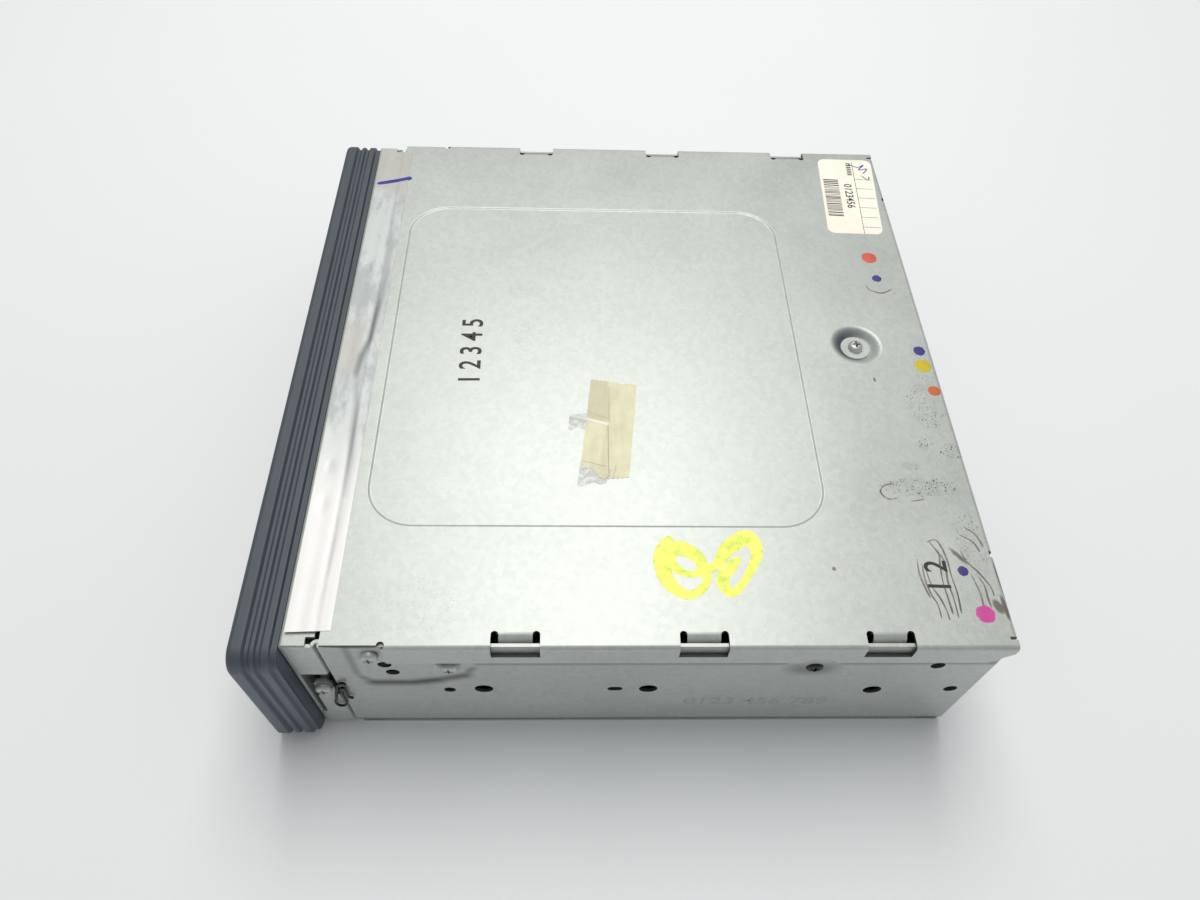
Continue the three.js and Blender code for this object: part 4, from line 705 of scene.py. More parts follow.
def plain_finish(name):
    """A finish with uneven colour and gloss, fine grain and a few specks of dust."""
    seen, metallic, roughness, grain, depth = PLAIN_FINISHES[name]
    colour = linear(*seen)
    shader = Shader(name)
    cloud = shader.noise(grain * 16, 3, 0.55)
    fine = shader.noise(grain, 2, 0.6)
    toned = shader.mix((cloud * 0.6 + fine * 0.4).between(0.3, 0.7), shade(colour, 0.86), shade(colour, 1.12))
    dusty = shader.mix(shader.specks(2.4, 0.16, 0.25) * 0.5, toned, linear(170, 168, 160))
    return shader.finish(Base_Color=dusty, Metallic=metallic,
                         Roughness=fine * 0.12 + cloud * 0.1 + (roughness - 0.11),
                         Normal=shader.bump(fine, 0.5, depth))


def zinc(shader, colour, speckle):
    """Colour of a zinc plate: cloudy tone, small flakes, grain and dirt specks."""
    cloud = shader.noise(34, 3, 0.5)
    grain = shader.noise(0.45, 2, 0.7)
    values = {"Vector": shader.place, "Scale": 1 / (1.3 * MM)}
    flakes = shader.node("ShaderNodeTexVoronoi", values, "Color")
    flake = shader.node("ShaderNodeSeparateColor", (flakes,))
    tone = (cloud - 0.5) * 0.9 + (flake - 0.5) * (0.3 * speckle) + (grain - 0.5) * (0.9 * speckle) + 0.5
    toned = shader.mix(tone, shade(colour, 0.86), shade(colour, 1.13))
    dirt = shader.specks(3.1, 0.14, 0.3) * 0.5
    dirt = dirt.most(shader.specks(9.5, 0.3, 0.4) * 0.6)
    return shader.mix(dirt, toned, linear(92, 88, 80)), cloud, grain


def zinc_finish(name, scene, share):
    """Zinc plate of the walls and frames; on the case zinc, painted shade darkens it where its pressed shapes
    turn down and under the flange.
    """
    sizes = scene.disc_case
    shader = Shader(name)
    colour, cloud, grain = zinc(shader, shade(sizes.zinc, share), sizes.speckle)
    smudge = shader.noise(8, 4, 0.65).between(0.56, 0.75) * 0.3
    colour = shader.mix(smudge, colour, shade(sizes.zinc, share * 0.66))
    if name == "case_zinc":
        shaded = 0
        for first, second, radius, depth in WALL_SHADES:
            shaded = (shader.beside(first, second, radius, shader.y, shader.z) * depth).most(shaded)
        # Painted shade: the lines of WALL_SHADES darken the case zinc towards 0.12 of its colour.
        colour = shader.mix(shaded, colour, shade(sizes.zinc, 0.12))
    return shader.finish(Base_Color=colour, Metallic=0.45, Roughness=cloud * 0.2 + grain * 0.12 + 0.28,
                         Normal=shader.bump(grain, 0.35, 0.01))


def lid_zinc(scene):
    """Zinc plate of the lid, with grey rubs, fine contour lines and dirt towards the rear edge, and painted
    shade on the screw dimple's slope.
    """
    sizes = scene.disc_case
    shader = Shader("lid_zinc")
    colour, cloud, grain = zinc(shader, sizes.zinc, sizes.speckle)
    cluster = shader.noise(2.6, 3, 0.6)
    dirty = 0
    for x, y, half_x, half_y, strength in LID_DIRT:
        away = ((shader.x - x) / half_x) ** 2 + ((shader.y - y) / half_y) ** 2
        dirty = ((away + (cluster - 0.5) * 1.6).between(1.25, 0.5) * strength).most(dirty)
    dots = shader.specks(0.8, 0.34, 0.95).most(shader.specks(0.52, 0.26, 0.85) * 0.75)
    colour = shader.mix(dots * dirty.between(0.1, 0.9) * 0.95, colour, linear(72, 72, 64))
    colour = shader.mix(dirty * cluster.between(0.4, 0.6) * 0.22, colour, shade(sizes.zinc, 0.5))
    # Painted shade on the dimple's sloping side, darkest on the slope that faces away from the lamp.
    dip_x, dip_y = shader.x - DIMPLE[0], shader.y - DIMPLE[1]
    away = (dip_x * dip_x + dip_y * dip_y) ** 0.5
    slope = away.between(3.7, 4.2) * away.between(sizes.dimple_radius / MM + 0.3, 4.6)
    lit = (dip_x * 0.5 + dip_y * 0.85) / away.most(0.1)
    colour = shader.mix(slope * (0.5 - lit * 0.42), colour, linear(74, 86, 100))
    for x, y, half_x, half_y, turn in LID_STAINS:
        cosine, sine = math.cos(math.radians(turn)), math.sin(math.radians(turn))
        along = (shader.x - x) * cosine + (shader.y - y) * sine
        across = (shader.y - y) * cosine - (shader.x - x) * sine
        stain = ((along / half_x) ** 2 + (across / half_y) ** 2 + (cluster - 0.5) * 1.2).between(1.2, 0.3)
        colour = shader.mix(stain * 0.75, colour, linear(96, 80, 54))
    return shader.finish(Base_Color=colour, Metallic=0.38, Roughness=cloud * 0.16 + grain * 0.14 + 0.26,
                         Normal=shader.bump(grain, 0.4, 0.012))


def bezel_plastic(name, colour):
    """Dark moulded plastic with faint drawing lines along its ribs, matt grain and dust, and painted light on
    its end faces.
    """
    shader = Shader(name)
    fine = shader.noise(0.28, 2, 0.6)
    lines = shader.noise(0.5, 2, 0.6, shader.stretched(0.02, 1, 0.02))
    cloud = shader.noise(22, 2)
    tone = (cloud - 0.5) * 0.7 + (lines - 0.5) * 0.9 + (fine - 0.5) * 0.4 + 0.5
    toned = shader.mix(tone, shade(colour, 0.8), shade(colour, 1.2))
    scuffed = shader.noise(4, 5, 0.75).between(0.66, 0.8) * 0.3
    toned = shader.mix(scuffed, toned, shade(colour, 1.9))
    # Painted light: the bezel's ends, past 90.4 mm across, are drawn lighter, standing in for the light on its
    # end faces.
    lit_ends = abs(shader.x).between(90.4, 92) * 0.6
    toned = shader.mix(lit_ends, toned, shade(colour, 1.9))
    dusty = shader.mix(shader.specks(2.2, 0.12, 0.3) * 0.4, toned, linear(168, 168, 164))
    return shader.finish(Base_Color=dusty, Roughness=fine * 0.14 + cloud * 0.08 + 0.42,
                         Specular_IOR_Level=0.8, Normal=shader.bump(fine, 0.5, 0.012))


def foil(name):
    """Bright foil, dull where its glue pulled away; a painted highlight whitens its near end and painted shade
    greys it where it dips.
    """
    shader = Shader(name)
    crinkle = shader.noise(2.6, 3, 0.55, shader.stretched(0.12, 1, 1), 0.3)
    patch = shader.noise(6, 4, 0.66, shader.stretched(0.4, 1, 1))
    shaded_dip = shader.attribute("shaded_dip")
    dull = shader.attribute("dull")
    toned = shader.mix(patch.between(0.44, 0.6), linear(224, 229, 229), linear(196, 202, 204))
    # Painted highlight: the foil turns white towards its near end, past 22 mm across, where it mirrors the
    # lamp.
    toned = shader.mix(shader.x.between(22, 56), toned, (1.0, 1.0, 1.0))
    toned = shader.mix(dull, toned, linear(206, 205, 198))
    # Painted shade: the foil turns grey where it dips into the seam.
    toned = shader.mix(shaded_dip * patch.between(0.7, 0.45), toned, linear(138, 142, 142))
    fine = shader.noise(0.6, 3, 0.7)
    toned = shader.mix(fine.between(0.62, 0.75) * 0.25, toned, linear(150, 148, 138))
    return shader.finish(Base_Color=toned, Metallic=0.25, Roughness=patch * 0.3 + fine * 0.08 + 0.26,
                         Normal=shader.bump(crinkle + fine * 0.12, 0.2, 0.08))


def clear_tape(name, colour):
    """Aged clear tape: yellowed film with streaks of old glue and a seam along it, a crease painted white as a
    highlight, and a faint glow of painted light.
    """
    shader = Shader(name)
    streak = shader.noise(1.6, 3, 0.6, shader.stretched(0.25, 1, 1))
    cloud = shader.noise(6, 3)
    tone = (streak * 0.6 + cloud * 0.4).between(0.35, 0.65)
    toned = shader.mix(tone, shade(colour, 0.93), shade(colour, 1.12))
    # Painted light: the tape glows faintly, lighter than its lighting alone makes it.
    shader.glow(colour, 0.08)
    aged = shader.x.between(27, 24.5) * shader.y.between(65.4, 64.6)
    toned = shader.mix(aged * 0.55, toned, shade(colour, 0.66))
    toned = shader.mix(shader.beside((14, 66), (43.6, 65.4), 0.8) * 0.35, toned, linear(248, 244, 222))
    for first, second, radius, depth in TAPE_LINES:
        toned = shader.mix(shader.beside(first, second, radius) * depth, toned, linear(112, 100, 66))
    # Painted highlight: the crease lines are drawn white and more opaque.
    crease = shader.beside((23.8, 54.7), (26.8, 64.6), 0.55)
    crease = crease.most(shader.beside((13, 68), (12.4, 72), 0.6) * 0.7)
    toned = shader.mix(crease, toned, (1.0, 1.0, 1.0))
    return shader.finish(Base_Color=toned, Alpha=cloud * 0.2 + crease * 0.3 + 0.6,
                         Roughness=streak * 0.2 + 0.22, Normal=shader.bump(streak, 0.3, 0.04))


def clear_film(name):
    """Clear film that shows by its gloss and wrinkles, with a white streak along its crease as a painted
    highlight.
    """
    shader = Shader(name)
    wrinkle = shader.noise(1.6, 3, 0.55)
    # Painted highlight: a white streak along the crease.
    crease = shader.beside((23.8, 54), (25.4, 60), 1.1)
    toned = shader.mix(crease.most(wrinkle.between(0.4, 0.6)), linear(236, 236, 232), (1.0, 1.0, 1.0))
    return shader.finish(Base_Color=toned, Alpha=crease * 0.55 + wrinkle.between(0.6, 0.4) * 0.2 + 0.1,
                         Roughness=wrinkle * 0.2 + 0.12, Normal=shader.bump(wrinkle, 0.3, 0.04))


def label_paper(name, colour):
    """Label paper: off-white fibres, lightened by a faint glow of painted light."""
    shader = Shader(name)
    fibre = shader.noise(0.35, 3, 0.7)
    cloud = shader.noise(9, 2)
    toned = shader.mix((fibre * 0.5 + cloud * 0.5).between(0.3, 0.7), shade(colour, 0.9), shade(colour, 1.03))
    # Painted light: the paper glows faintly, lighter than its lighting alone makes it.
    shader.glow(colour, 0.22)
    return shader.finish(Base_Color=toned, Roughness=fibre * 0.2 + 0.4, Normal=shader.bump(fibre, 0.4, 0.02))


def marker(name, colour, thin, cover, glow, grain=1.1):
    """Marker ink that thins out along the stroke, and glows a little where it is fluorescent."""
    shader = Shader(name)
    streak = shader.noise(grain, 3, 0.6)
    toned = shader.mix(streak.between(0.35, 0.62), thin, tuple(colour))
    shader.glow(colour, glow)
    return shader.finish(Base_Color=toned, Roughness=streak * 0.15 + 0.3,
                         Alpha=streak.between(0.2, 0.6) * 0.4 + (cover - 0.2))


def circuit_board(name):
    """Green board with copper tracks under the lacquer and solder pads."""
    shader = Shader(name)
    values = {"Vector": shader.place, "Scale": 1 / (5.5 * MM), "Randomness": 0.55}
    cells = shader.node("ShaderNodeTexVoronoi", values, distance="CHEBYCHEV", feature="F1")
    tracks = (cells * 26).sine().between(0.1, 0.5)
    toned = shader.mix(tracks, linear(24, 78, 52), linear(52, 118, 74))
    pads = shader.specks(4.2, 0.8, 0.6)
    return shader.finish(Base_Color=shader.mix(pads, toned, linear(196, 198, 192)), Metallic=pads * 0.9,
                         Roughness=tracks * 0.08 + 0.28, Normal=shader.bump(tracks + pads, 0.3, 0.04))


def clear_plastic(name, colour, roughness):
    """Tinted see-through plastic or glass."""
    shader = Shader(name)
    cloud = shader.noise(3, 2)
    toned = shader.mix(cloud, shade(colour, 0.9), shade(colour, 1.05))
    return shader.finish(Base_Color=toned, Roughness=cloud * 0.06 + roughness, Coat_Weight=0.5)


# Zinc plate finishes and how light each is: the case zinc is set a little darker than the lid's as painted
# shade on the side walls, and the pressed zinc darker still as painted shade of the pressed digits
ZINC_SHARES = {"case_zinc": 0.92, "pressed_zinc": 0.78, "frame_zinc": 1.0, "deck_zinc": 0.9}


def finish(name):
    """A finish by its name, made when it is first asked for."""
    made = bpy.data.materials.get(f"{name} finish")
    if made:
        return made
    if name in PLAIN_FINISHES:
        return plain_finish(name)
    scene = bpy.context.scene
    if name in ZINC_SHARES:
        return zinc_finish(name, scene, ZINC_SHARES[name])
    marks = scene.disc_marks
    makers = {
        "lid_zinc": lambda: lid_zinc(scene),
        "bezel_plastic": lambda: bezel_plastic(name, scene.disc_bezel.colour),
        "face_plastic": lambda: bezel_plastic(name, scene.disc_bezel.face_colour),
        "foil": lambda: foil(name),
        "clear_tape": lambda: clear_tape(name, marks.tape_colour),
        "clear_film": lambda: clear_film(name),
        "label_paper": lambda: label_paper(name, marks.paper),
        "highlighter": lambda: marker(name, marks.highlighter, linear(218, 242, 84), 0.62, 0.24, 3.2),
        "dried_dirt": lambda: marker(name, linear(132, 124, 106), linear(112, 104, 88), 0.34, 0),
        "pen_ink": lambda: marker(name, marks.pen, shade(marks.pen, 0.86), 0.95, 0),
        "circuit_board": lambda: circuit_board(name),
        "lamp_lens": lambda: clear_plastic(name, linear(196, 60, 52), 0.16),
        "pickup_glass": lambda: clear_plastic(name, linear(92, 72, 140), 0.05),
    }
    return makers[name]()


# Case: lid, side walls, bottom, back and front frame


def fold(distance, radius):
    """How far a sheet runs on and turns away, at a distance past the start of a right-angled fold."""
    turn = min(distance / radius, math.pi / 2)
    return radius * math.sin(turn), radius * (1 - math.cos(turn)) + max(distance - radius * math.pi / 2, 0)


def lid_drop(x, y):
    """How far the lid's panel lies under its top."""
    sizes = bpy.context.scene.disc_case
    inside = -rounded_distance(x, y, (0, (PANEL_FRONT + PANEL_REAR) / 2), PANEL_HALF,
                               (PANEL_REAR - PANEL_FRONT) / 2, sizes.panel_corner / MM)
    return sizes.panel_depth / MM * smooth(inside * MM / sizes.panel_edge)


class LidSheet:
    """Maps the lid's flat pattern to its folded and pressed shape."""

    def __init__(self, sizes):
        for name in ("bend", "panel_edge", "panel_corner", "dimple_radius", "dimple_flat", "dimple_depth"):
            setattr(self, name, getattr(sizes, name) / MM)
        self.start = LID_HALF - self.bend
        self.rear_start = LID_LENGTH - self.bend
        self.quarter = self.bend * math.pi / 2
        self.tongue_end = CLIP_ROOT + CLIP_BEND * math.pi / 2 + CLIP_DROP - CLIP_BEND

    def across(self, z):
        """Where a height on the side flange lies across the pattern."""
        return self.start + self.quarter + LID_TOP - self.bend - z

    def relief(self, x, y):
        """Height of the pressed shapes over the flat lid."""
        away = math.hypot(x - DIMPLE[0], y - DIMPLE[1])
        slope = self.dimple_radius - self.dimple_flat
        return -lid_drop(x, y) - self.dimple_depth * smooth((self.dimple_radius - away) / slope) ** 1.35

    def folded(self, point):
        """Place of a pattern point on the folded lid."""
        u, v = point
        side, across = math.copysign(1, u), abs(u)
        tongue = across < self.tongue_end + 0.01 and any(
            start + CLIP_SLOT - 0.01 < v < start + CLIP_WIDTH - CLIP_SLOT + 0.01 for start in CLIP_STARTS)
        root, radius = (CLIP_ROOT, CLIP_BEND) if tongue else (self.start, self.bend)
        x, y, z = across, v, LID_TOP + self.relief(u, v)
        if across > root and v >= LID_CORNER - 0.01:
            run, drop = fold(across - root, radius)
            x, z = root + run, LID_TOP - drop
        if v > self.rear_start and across < REAR_FLANGE_HALF + 0.1:
            run, drop = fold(v - self.rear_start, self.bend)
            y, z = self.rear_start + run, LID_TOP - drop
        return (side * x, y, z)

    def half_outline(self):
        """Half of the pattern's outline, from the front edge back."""
        low = self.across(FLANGE_BOTTOM)
        rear_low = self.rear_start + self.quarter + LID_TOP - self.bend - REAR_FLANGE_BOTTOM
        notch = arc(LID_FLAT, LID_CORNER, RELIEF_RADIUS, -90, -360, 12)
        boss = [(u, BOSS[0] + (v - BOSS[0]) * BOSS_NOTCH_HALF / BOSS_NOTCH_HEIGHT)
                for u, v in arc(low, BOSS[0], BOSS_NOTCH_HEIGHT, -90, -270, 14)]
        edge = NOTCH_X + NOTCH_WIDTH / 2
        return [
            (LID_FLAT, 0), *notch, (low - 0.5, LID_CORNER), (low, LID_CORNER + 0.5), *boss,
            (low, LID_LENGTH - FLANGE_CHAMFER), (low - FLANGE_CHAMFER, LID_LENGTH - 0.3),
            (REAR_FLANGE_HALF + 0.7, LID_LENGTH - 0.3), (REAR_FLANGE_HALF + 0.7, self.rear_start - 0.8),
            (REAR_FLANGE_HALF, self.rear_start - 0.8), (REAR_FLANGE_HALF, rear_low - 1),
            (REAR_FLANGE_HALF - 1, rear_low), (edge, rear_low), (edge, self.rear_start + 0.1),
            (edge - NOTCH_WIDTH, self.rear_start + 0.1), (edge - NOTCH_WIDTH, rear_low),
        ]

    def clip_hole(self, start):
        """The slots and window round one clip's tongue, on the right."""
        slot = CLIP_SLOT / 2
        end = start + CLIP_WIDTH
        window = self.across(CLIP_WINDOW_BOTTOM)
        near, far = [arc(CLIP_ROOT + slot, middle, slot, 270, 90, 10)
                     for middle in (start + slot, end - slot)]
        return [(window, start), *near, (self.tongue_end, start + CLIP_SLOT),
                (self.tongue_end, end - CLIP_SLOT), *far, (window, end)]

    def pattern(self):
        """Outline, holes, fold lines and pressed rings of the flat lid."""
        half = self.half_outline()
        outline = half + [(-u, v) for u, v in reversed(half)]
        holes, lines = [], []
        for start in CLIP_STARTS:
            hole = self.clip_hole(start)
            holes += [hole, [(-u, v) for u, v in reversed(hole)]]
            for step in range(9):
                u = CLIP_ROOT + CLIP_BEND * math.pi / 2 * step / 8
                lines += [[(side * u, start + CLIP_SLOT), (side * u, start + CLIP_WIDTH - CLIP_SLOT)]
                          for side in (-1, 1)]
        for step in range(9):
            u = self.start + self.quarter * step / 8
            lines += [[(side * u, LID_CORNER + 0.95), (side * u, LID_LENGTH)] for side in (-1, 1)]
            v = self.rear_start + self.quarter * step / 8
            lines.append([(-REAR_FLANGE_HALF - 1, v), (REAR_FLANGE_HALF + 1, v)])
        lines += ring_lines(-PANEL_HALF, PANEL_HALF, PANEL_FRONT, PANEL_REAR, self.panel_corner,
                            [self.panel_edge * step / 6 for step in range(7)], 14)
        for step in range(9):
            radius = self.dimple_radius + (self.dimple_flat - self.dimple_radius) * step / 8
            ring = circle(*DIMPLE, radius, 48)
            lines.append(ring + ring[:1])
        return outline, holes, lines


class OBJECT_OT_lid(bpy.types.Operator):
    """Adds the pressed lid with its folded flanges, clips, panel and screw dimple"""

    bl_idname = "disc_player.lid"
    bl_label = "Lid"

    def execute(self, context):
        sizes = context.scene.disc_case
        sheet = LidSheet(sizes)
        corners, faces = flat_pattern(*sheet.pattern())
        lid = new_object("lid", [sheet.folded(corner) for corner in corners], faces, finish("lid_zinc"))
        thickened(lid, sizes.sheet / MM, 30, finish("cut_edge"))
        fixed(lid, "unit", "lid_steel", "top_cover")
        return {"FINISHED"}


def wall_relief(y, z):
    """Height of the raised pad, its screw recess and the screw boss over the side wall."""
    pad = PAD_HEIGHT * smooth(0.5 - outline_distance(y, z, PAD_OUTLINE) / 4.0)
    recess = rounded_distance(y, z, RECESS[:2], RECESS[2] / 2, RECESS[3] / 2, RECESS_CORNER)
    pad = min(pad, PAD_HEIGHT * smooth(recess / 0.5)) if recess < 0.6 else pad
    away = math.hypot(y - BOSS[0], (z - BOSS[1]) / 1.3)
    return max(pad, BOSS_RISE * smooth((6.3 - away) / 5))


def wall_point(point):
    """Place of a pattern point on the folded side wall."""
    y, w = point
    if w >= WALL_START:
        return (WALL_OUTER + wall_relief(y, w), y, w)
    run, inwards = fold(WALL_START - w, WALL_FOLD)
    return (WALL_OUTER - inwards, y, WALL_START - run)


class OBJECT_OT_walls(bpy.types.Operator):
    """Adds the two side walls with their raised pads, bosses, holes and turned-in lips"""

    bl_idname = "disc_player.walls"
    bl_label = "Side walls"

    def execute(self, context):
        lip = WALL_START - WALL_FOLD * math.pi / 2 - WALL_LIP
        foot = WALL_BOTTOM + 0.6
        outline = [
            (WALL_FRONT, WALL_TOP), (WALL_FRONT, WALL_START + 0.6), (WALL_FRONT + 1.2, foot), (6.3, foot),
            (7.5, lip), (WALL_REAR - 8, lip), (WALL_REAR - 6.5, foot), (WALL_REAR, foot),
            (WALL_REAR, WALL_TOP),
        ]
        holes = [circle(*hole, 28) for hole in WALL_HOLES]
        y, z, length, height = WALL_SLOT
        holes.append(rounded(y - length / 2, y + length / 2, z - height / 2, z + height / 2, height / 2, 8))
        bends = [WALL_START - WALL_FOLD * math.pi / 2 * step / 6 for step in range(7)]
        lines = [[(WALL_FRONT, bend), (WALL_REAR, bend)] for bend in bends]
        y, z, length, height = RECESS
        lines += ring_lines(y - length / 2, y + length / 2, z - height / 2, z + height / 2, RECESS_CORNER,
                            (0, -0.25, -0.5), 4)
        spots = grid_spots(0.4, 35, 25.5, WALL_TOP - 0.2, 0.45) + grid_spots(104, 120.5, 29, 48.6, 0.62)
        corners, faces = flat_pattern(outline, holes, lines, spots)
        right = [wall_point(corner) for corner in corners], faces
        for side, shape in (("right", right), ("left", mirrored(*right))):
            wall = new_object(f"side_wall_{side}", *shape, finish("case_zinc"))
            thickened(wall, context.scene.disc_case.sheet / MM, 30, finish("cut_edge"))
            for face in wall.data.polygons:
                if face.center.z > (WALL_TOP - 0.5) * MM:
                    face.material_index = 0
            fixed(wall, "unit", "case_steel", f"side_plate_{side}")
        return {"FINISHED"}


class OBJECT_OT_bottom(bpy.types.Operator):
    """Adds the bottom plate with its vents, drain holes, long beads and board posts"""

    bl_idname = "disc_player.bottom"
    bl_label = "Bottom plate"

    def execute(self, context):
        zinc = finish("case_zinc")
        holes = []
        for i in range(5):
            for x in (-48, 48):
                y = 60 + (i - 2) * 9
                holes.append(rounded(x - 13, x + 13, y - 1.5, y + 1.5, 1.5, 6))
        holes += [circle(x, y, 1.7, 20) for x in (-78, -26, 26, 78) for y in (16, 92, 140)]
        lines = []
        for middle in BEAD_MIDDLES:
            lines += ring_lines(-BEAD_HALF, BEAD_HALF, middle - 3, middle + 3, 3,
                                (0, 0.6, 1.2, BEAD_SLOPE), 6)
        corners, faces = flat_pattern(rounded(-WALL_OUTER, WALL_OUTER, 0, WALL_REAR, 1.5, 5), holes, lines)

        def lifted(point):
            inside = max(-rounded_distance(*point, (0, middle), BEAD_HALF, 3, 3) for middle in BEAD_MIDDLES)
            return (*point, BEAD_RISE * smooth(inside / BEAD_SLOPE))

        parts = [pressed("bottom_sheet", [lifted(corner) for corner in corners], turned_over(faces), zinc,
                         context.scene.disc_case.sheet / MM)]
        profile = [(0.9, 0.5), (3, 0.5), (3, 3.3), (2.7, 3.7), (1.3, 3.7), (0.9, 3.4)]
        parts += [turned_piece("post", profile, (x, y, 0), "Z", 24, zinc)
                  for x in (-62, 62) for y in (14, 144)]
        fixed(softened(merged("bottom_plate", parts)), "unit", "case_steel", "bottom_cover")
        return {"FINISHED"}


def turned_piece(name, profile, place, axis, steps, coat):
    """A closed shape turned from a profile of radius and height, standing along an axis."""
    ways = {"Z": lambda x, y, z: (x, y, z), "Y": lambda x, y, z: (x, z, -y), "-Y": lambda x, y, z: (x, -z, y)}

    def ring(turn):
        return lambda point: tuple(a + b for a, b in zip(place, ways[axis](
            point[0] * math.cos(turn), point[0] * math.sin(turn), point[1])))

    points, faces = swept(profile, [ring(2 * math.pi * i / steps) for i in range(steps)], closed=True)
    return outward(new_object(name, points, faces, coat))


class OBJECT_OT_back(bpy.types.Operator):
    """Adds the back wall with its cut-outs, perforation, tab and side ears"""

    bl_idname = "disc_player.back"
    bl_label = "Back wall"

    def execute(self, context):
        metal = context.scene.disc_case.sheet / MM
        zinc = finish("case_zinc")
        (x0, z0), (x1, z1) = SOCKET_LOW, SOCKET_HIGH
        holes = [rounded(x0 - 0.4, x1 + 0.4, z0 - 0.7, z1 + 0.4, 0.5, 3),
                 circle(AERIAL_PLACE[0], AERIAL_PLACE[2], 6.8, 40)]
        x0, x1, _, _, z0, z1 = FUSE_BOX
        holes.append(rounded(x0 - 0.4, x1 + 0.4, z0 - 0.4, z1 + 0.4, 0.4, 3))
        holes += [circle(-30 + i * 5 + (j % 2) * 2.5, 34 + j * 4.2, 1.5, 16)
                  for i in range(13) for j in range(3)]
        holes += [circle(x, 40, 1.8, 20) for x in (-76, 76)]
        corners, faces = flat_pattern(rounded(-BACK_HALF, BACK_HALF, WALL_BOTTOM, WALL_TOP, 0.6, 3), holes)
        parts = [pressed("back_sheet", standing(corners, WALL_REAR), turned_over(faces), zinc, metal)]
        strip = [(0.8, 44), (1.1, 43.2), (1.9, 42.9), (28, 42.9)]
        points = [(x, WALL_REAR - inwards, z) for x in (-10, 6) for inwards, z in strip]
        faces = [[i, i + 1, i + 5, i + 4] for i in range(3)]
        parts.append(pressed("back_tab", points, faces, zinc, metal))
        for side in (-1, 1):
            corners, faces = flat_pattern(rounded(WALL_REAR - 50.8, WALL_REAR - 0.4, 33, 43.8, 1.5, 5),
                                          [circle(*BOSS, 1.5, 20)])
            parts.append(pressed("back_ear", [(side * BACK_HALF, y, z) for y, z in corners],
                                 faces if side > 0 else turned_over(faces), zinc, metal))
        fixed(softened(merged("back_wall", parts)), "unit", "case_steel", "rear_panel")
        return {"FINISHED"}


# Front frame: its front and top, its fold, and where its side flanges step in, by how much
FRAME_FRONT = -9
FRAME_TOP = 50.1
FRAME_FOLD = 0.8
FRAME_BEND = FRAME_FOLD * math.pi / 2
FRAME_TURN = FRAME_FRONT + FRAME_FOLD
FRAME_START = FRAME_TOP - FRAME_FOLD
STEP_FRONT, STEP_RUN, STEP_DEPTH = -1.9, 0.9, 1.1


def frame_side_point(point):
    """Place of a pattern point on the front frame's stepped side flange, on the right."""
    y, z = point
    if y < FRAME_TURN:
        run, inwards = fold(FRAME_TURN - y, FRAME_FOLD)
        return (WALL_OUTER - inwards, FRAME_TURN - run, z)
    return (WALL_OUTER - STEP_DEPTH * smooth((y - STEP_FRONT) / STEP_RUN), y, z)


def frame_plate_point(point):
    """Place of a pattern point on the front frame's plate and its top fold."""
    x, v = point
    if v <= FRAME_START:
        return (x, FRAME_FRONT, v)
    run, back = fold(v - FRAME_START, FRAME_FOLD)
    return (x, FRAME_FRONT + back, FRAME_START + run)


class OBJECT_OT_front_frame(bpy.types.Operator):
    """Adds the front frame: its plate with the disc window, top fold and stepped side flanges"""

    bl_idname = "disc_player.front_frame"
    bl_label = "Front frame"

    def execute(self, context):
        metal = context.scene.disc_case.sheet / MM
        zinc = finish("frame_zinc")
        reach = FRAME_START + FRAME_BEND - FRAME_FRONT - 1.3 - FRAME_FOLD
        side = WALL_OUTER - 0.2
        outline = [(-side, WALL_BOTTOM), (side, WALL_BOTTOM), (side, reach - 2), (side - 2, reach - 2),
                   (side - 2, reach), (-side + 2, reach), (-side + 2, reach - 2), (-side, reach - 2)]
        holes = [rounded(-66.5, 66.5, 27, 38.2, 1, 4)]
        holes += [circle(x, z, 2, 20) for x in (-78, 78) for z in (12, 43)]
        bends = [FRAME_START + FRAME_BEND * i / 6 for i in range(7)]
        corners, faces = flat_pattern(outline, holes, [[(-side, bend), (side, bend)] for bend in bends])
        points = [frame_plate_point(corner) for corner in corners]
        parts = [pressed("frame_plate", points, faces, zinc, metal)]
        inner = -9.6
        lower = [(inner, 1.1), (4.8, 1.1), (6, 2.3), (6, 18.8), (4.8, 20), (-1.9, 20), (-2, 20.2), (-2, 27.4),
                 (-3, 28.6), (-5.3, 28.6), (-6.2, 27.5), (-6.2, 20.2), (-6.4, 20), (-6.9, 19.5), (-7, 8.4),
                 (-7.4, 8), (inner, 8)]
        upper = [(inner, 33.4), (29.6, 33.4), (31, 34.8), (31, 48), (29.6, 49.4), (inner, 49.4)]
        bends = [FRAME_TURN - FRAME_BEND * i / 5 for i in range(6)]
        bends += [STEP_FRONT + STEP_RUN * i / 6 for i in range(7)]
        holes = [circle(*SIDE_SCREWS[kind][1:], 1.4, 20) for kind in ("bracket", "pad", "recess")]
        for outline in (lower, upper):
            low, high = min(z for _, z in outline), max(z for _, z in outline)
            corners, faces = flat_pattern(outline, holes, [[(bend, low), (bend, high)] for bend in bends])
            right = [frame_side_point(corner) for corner in corners], faces
            parts += [pressed("frame_flange", *shape, zinc, metal) for shape in (right, mirrored(*right))]
        fixed(softened(merged("front_frame", parts)), "unit", "case_steel", "front_subframe")
        return {"FINISHED"}


# Front: bezel, face, slot flap, eject button and lamp lens

BEZEL_FRONT = BEZEL_BOX[0].y - FRONT_EDGE
BEZEL_HALF = BEZEL_BOX[1].x
BEZEL_TOP = BEZEL_BOX[1].z
BEZEL_DEPTH = 11
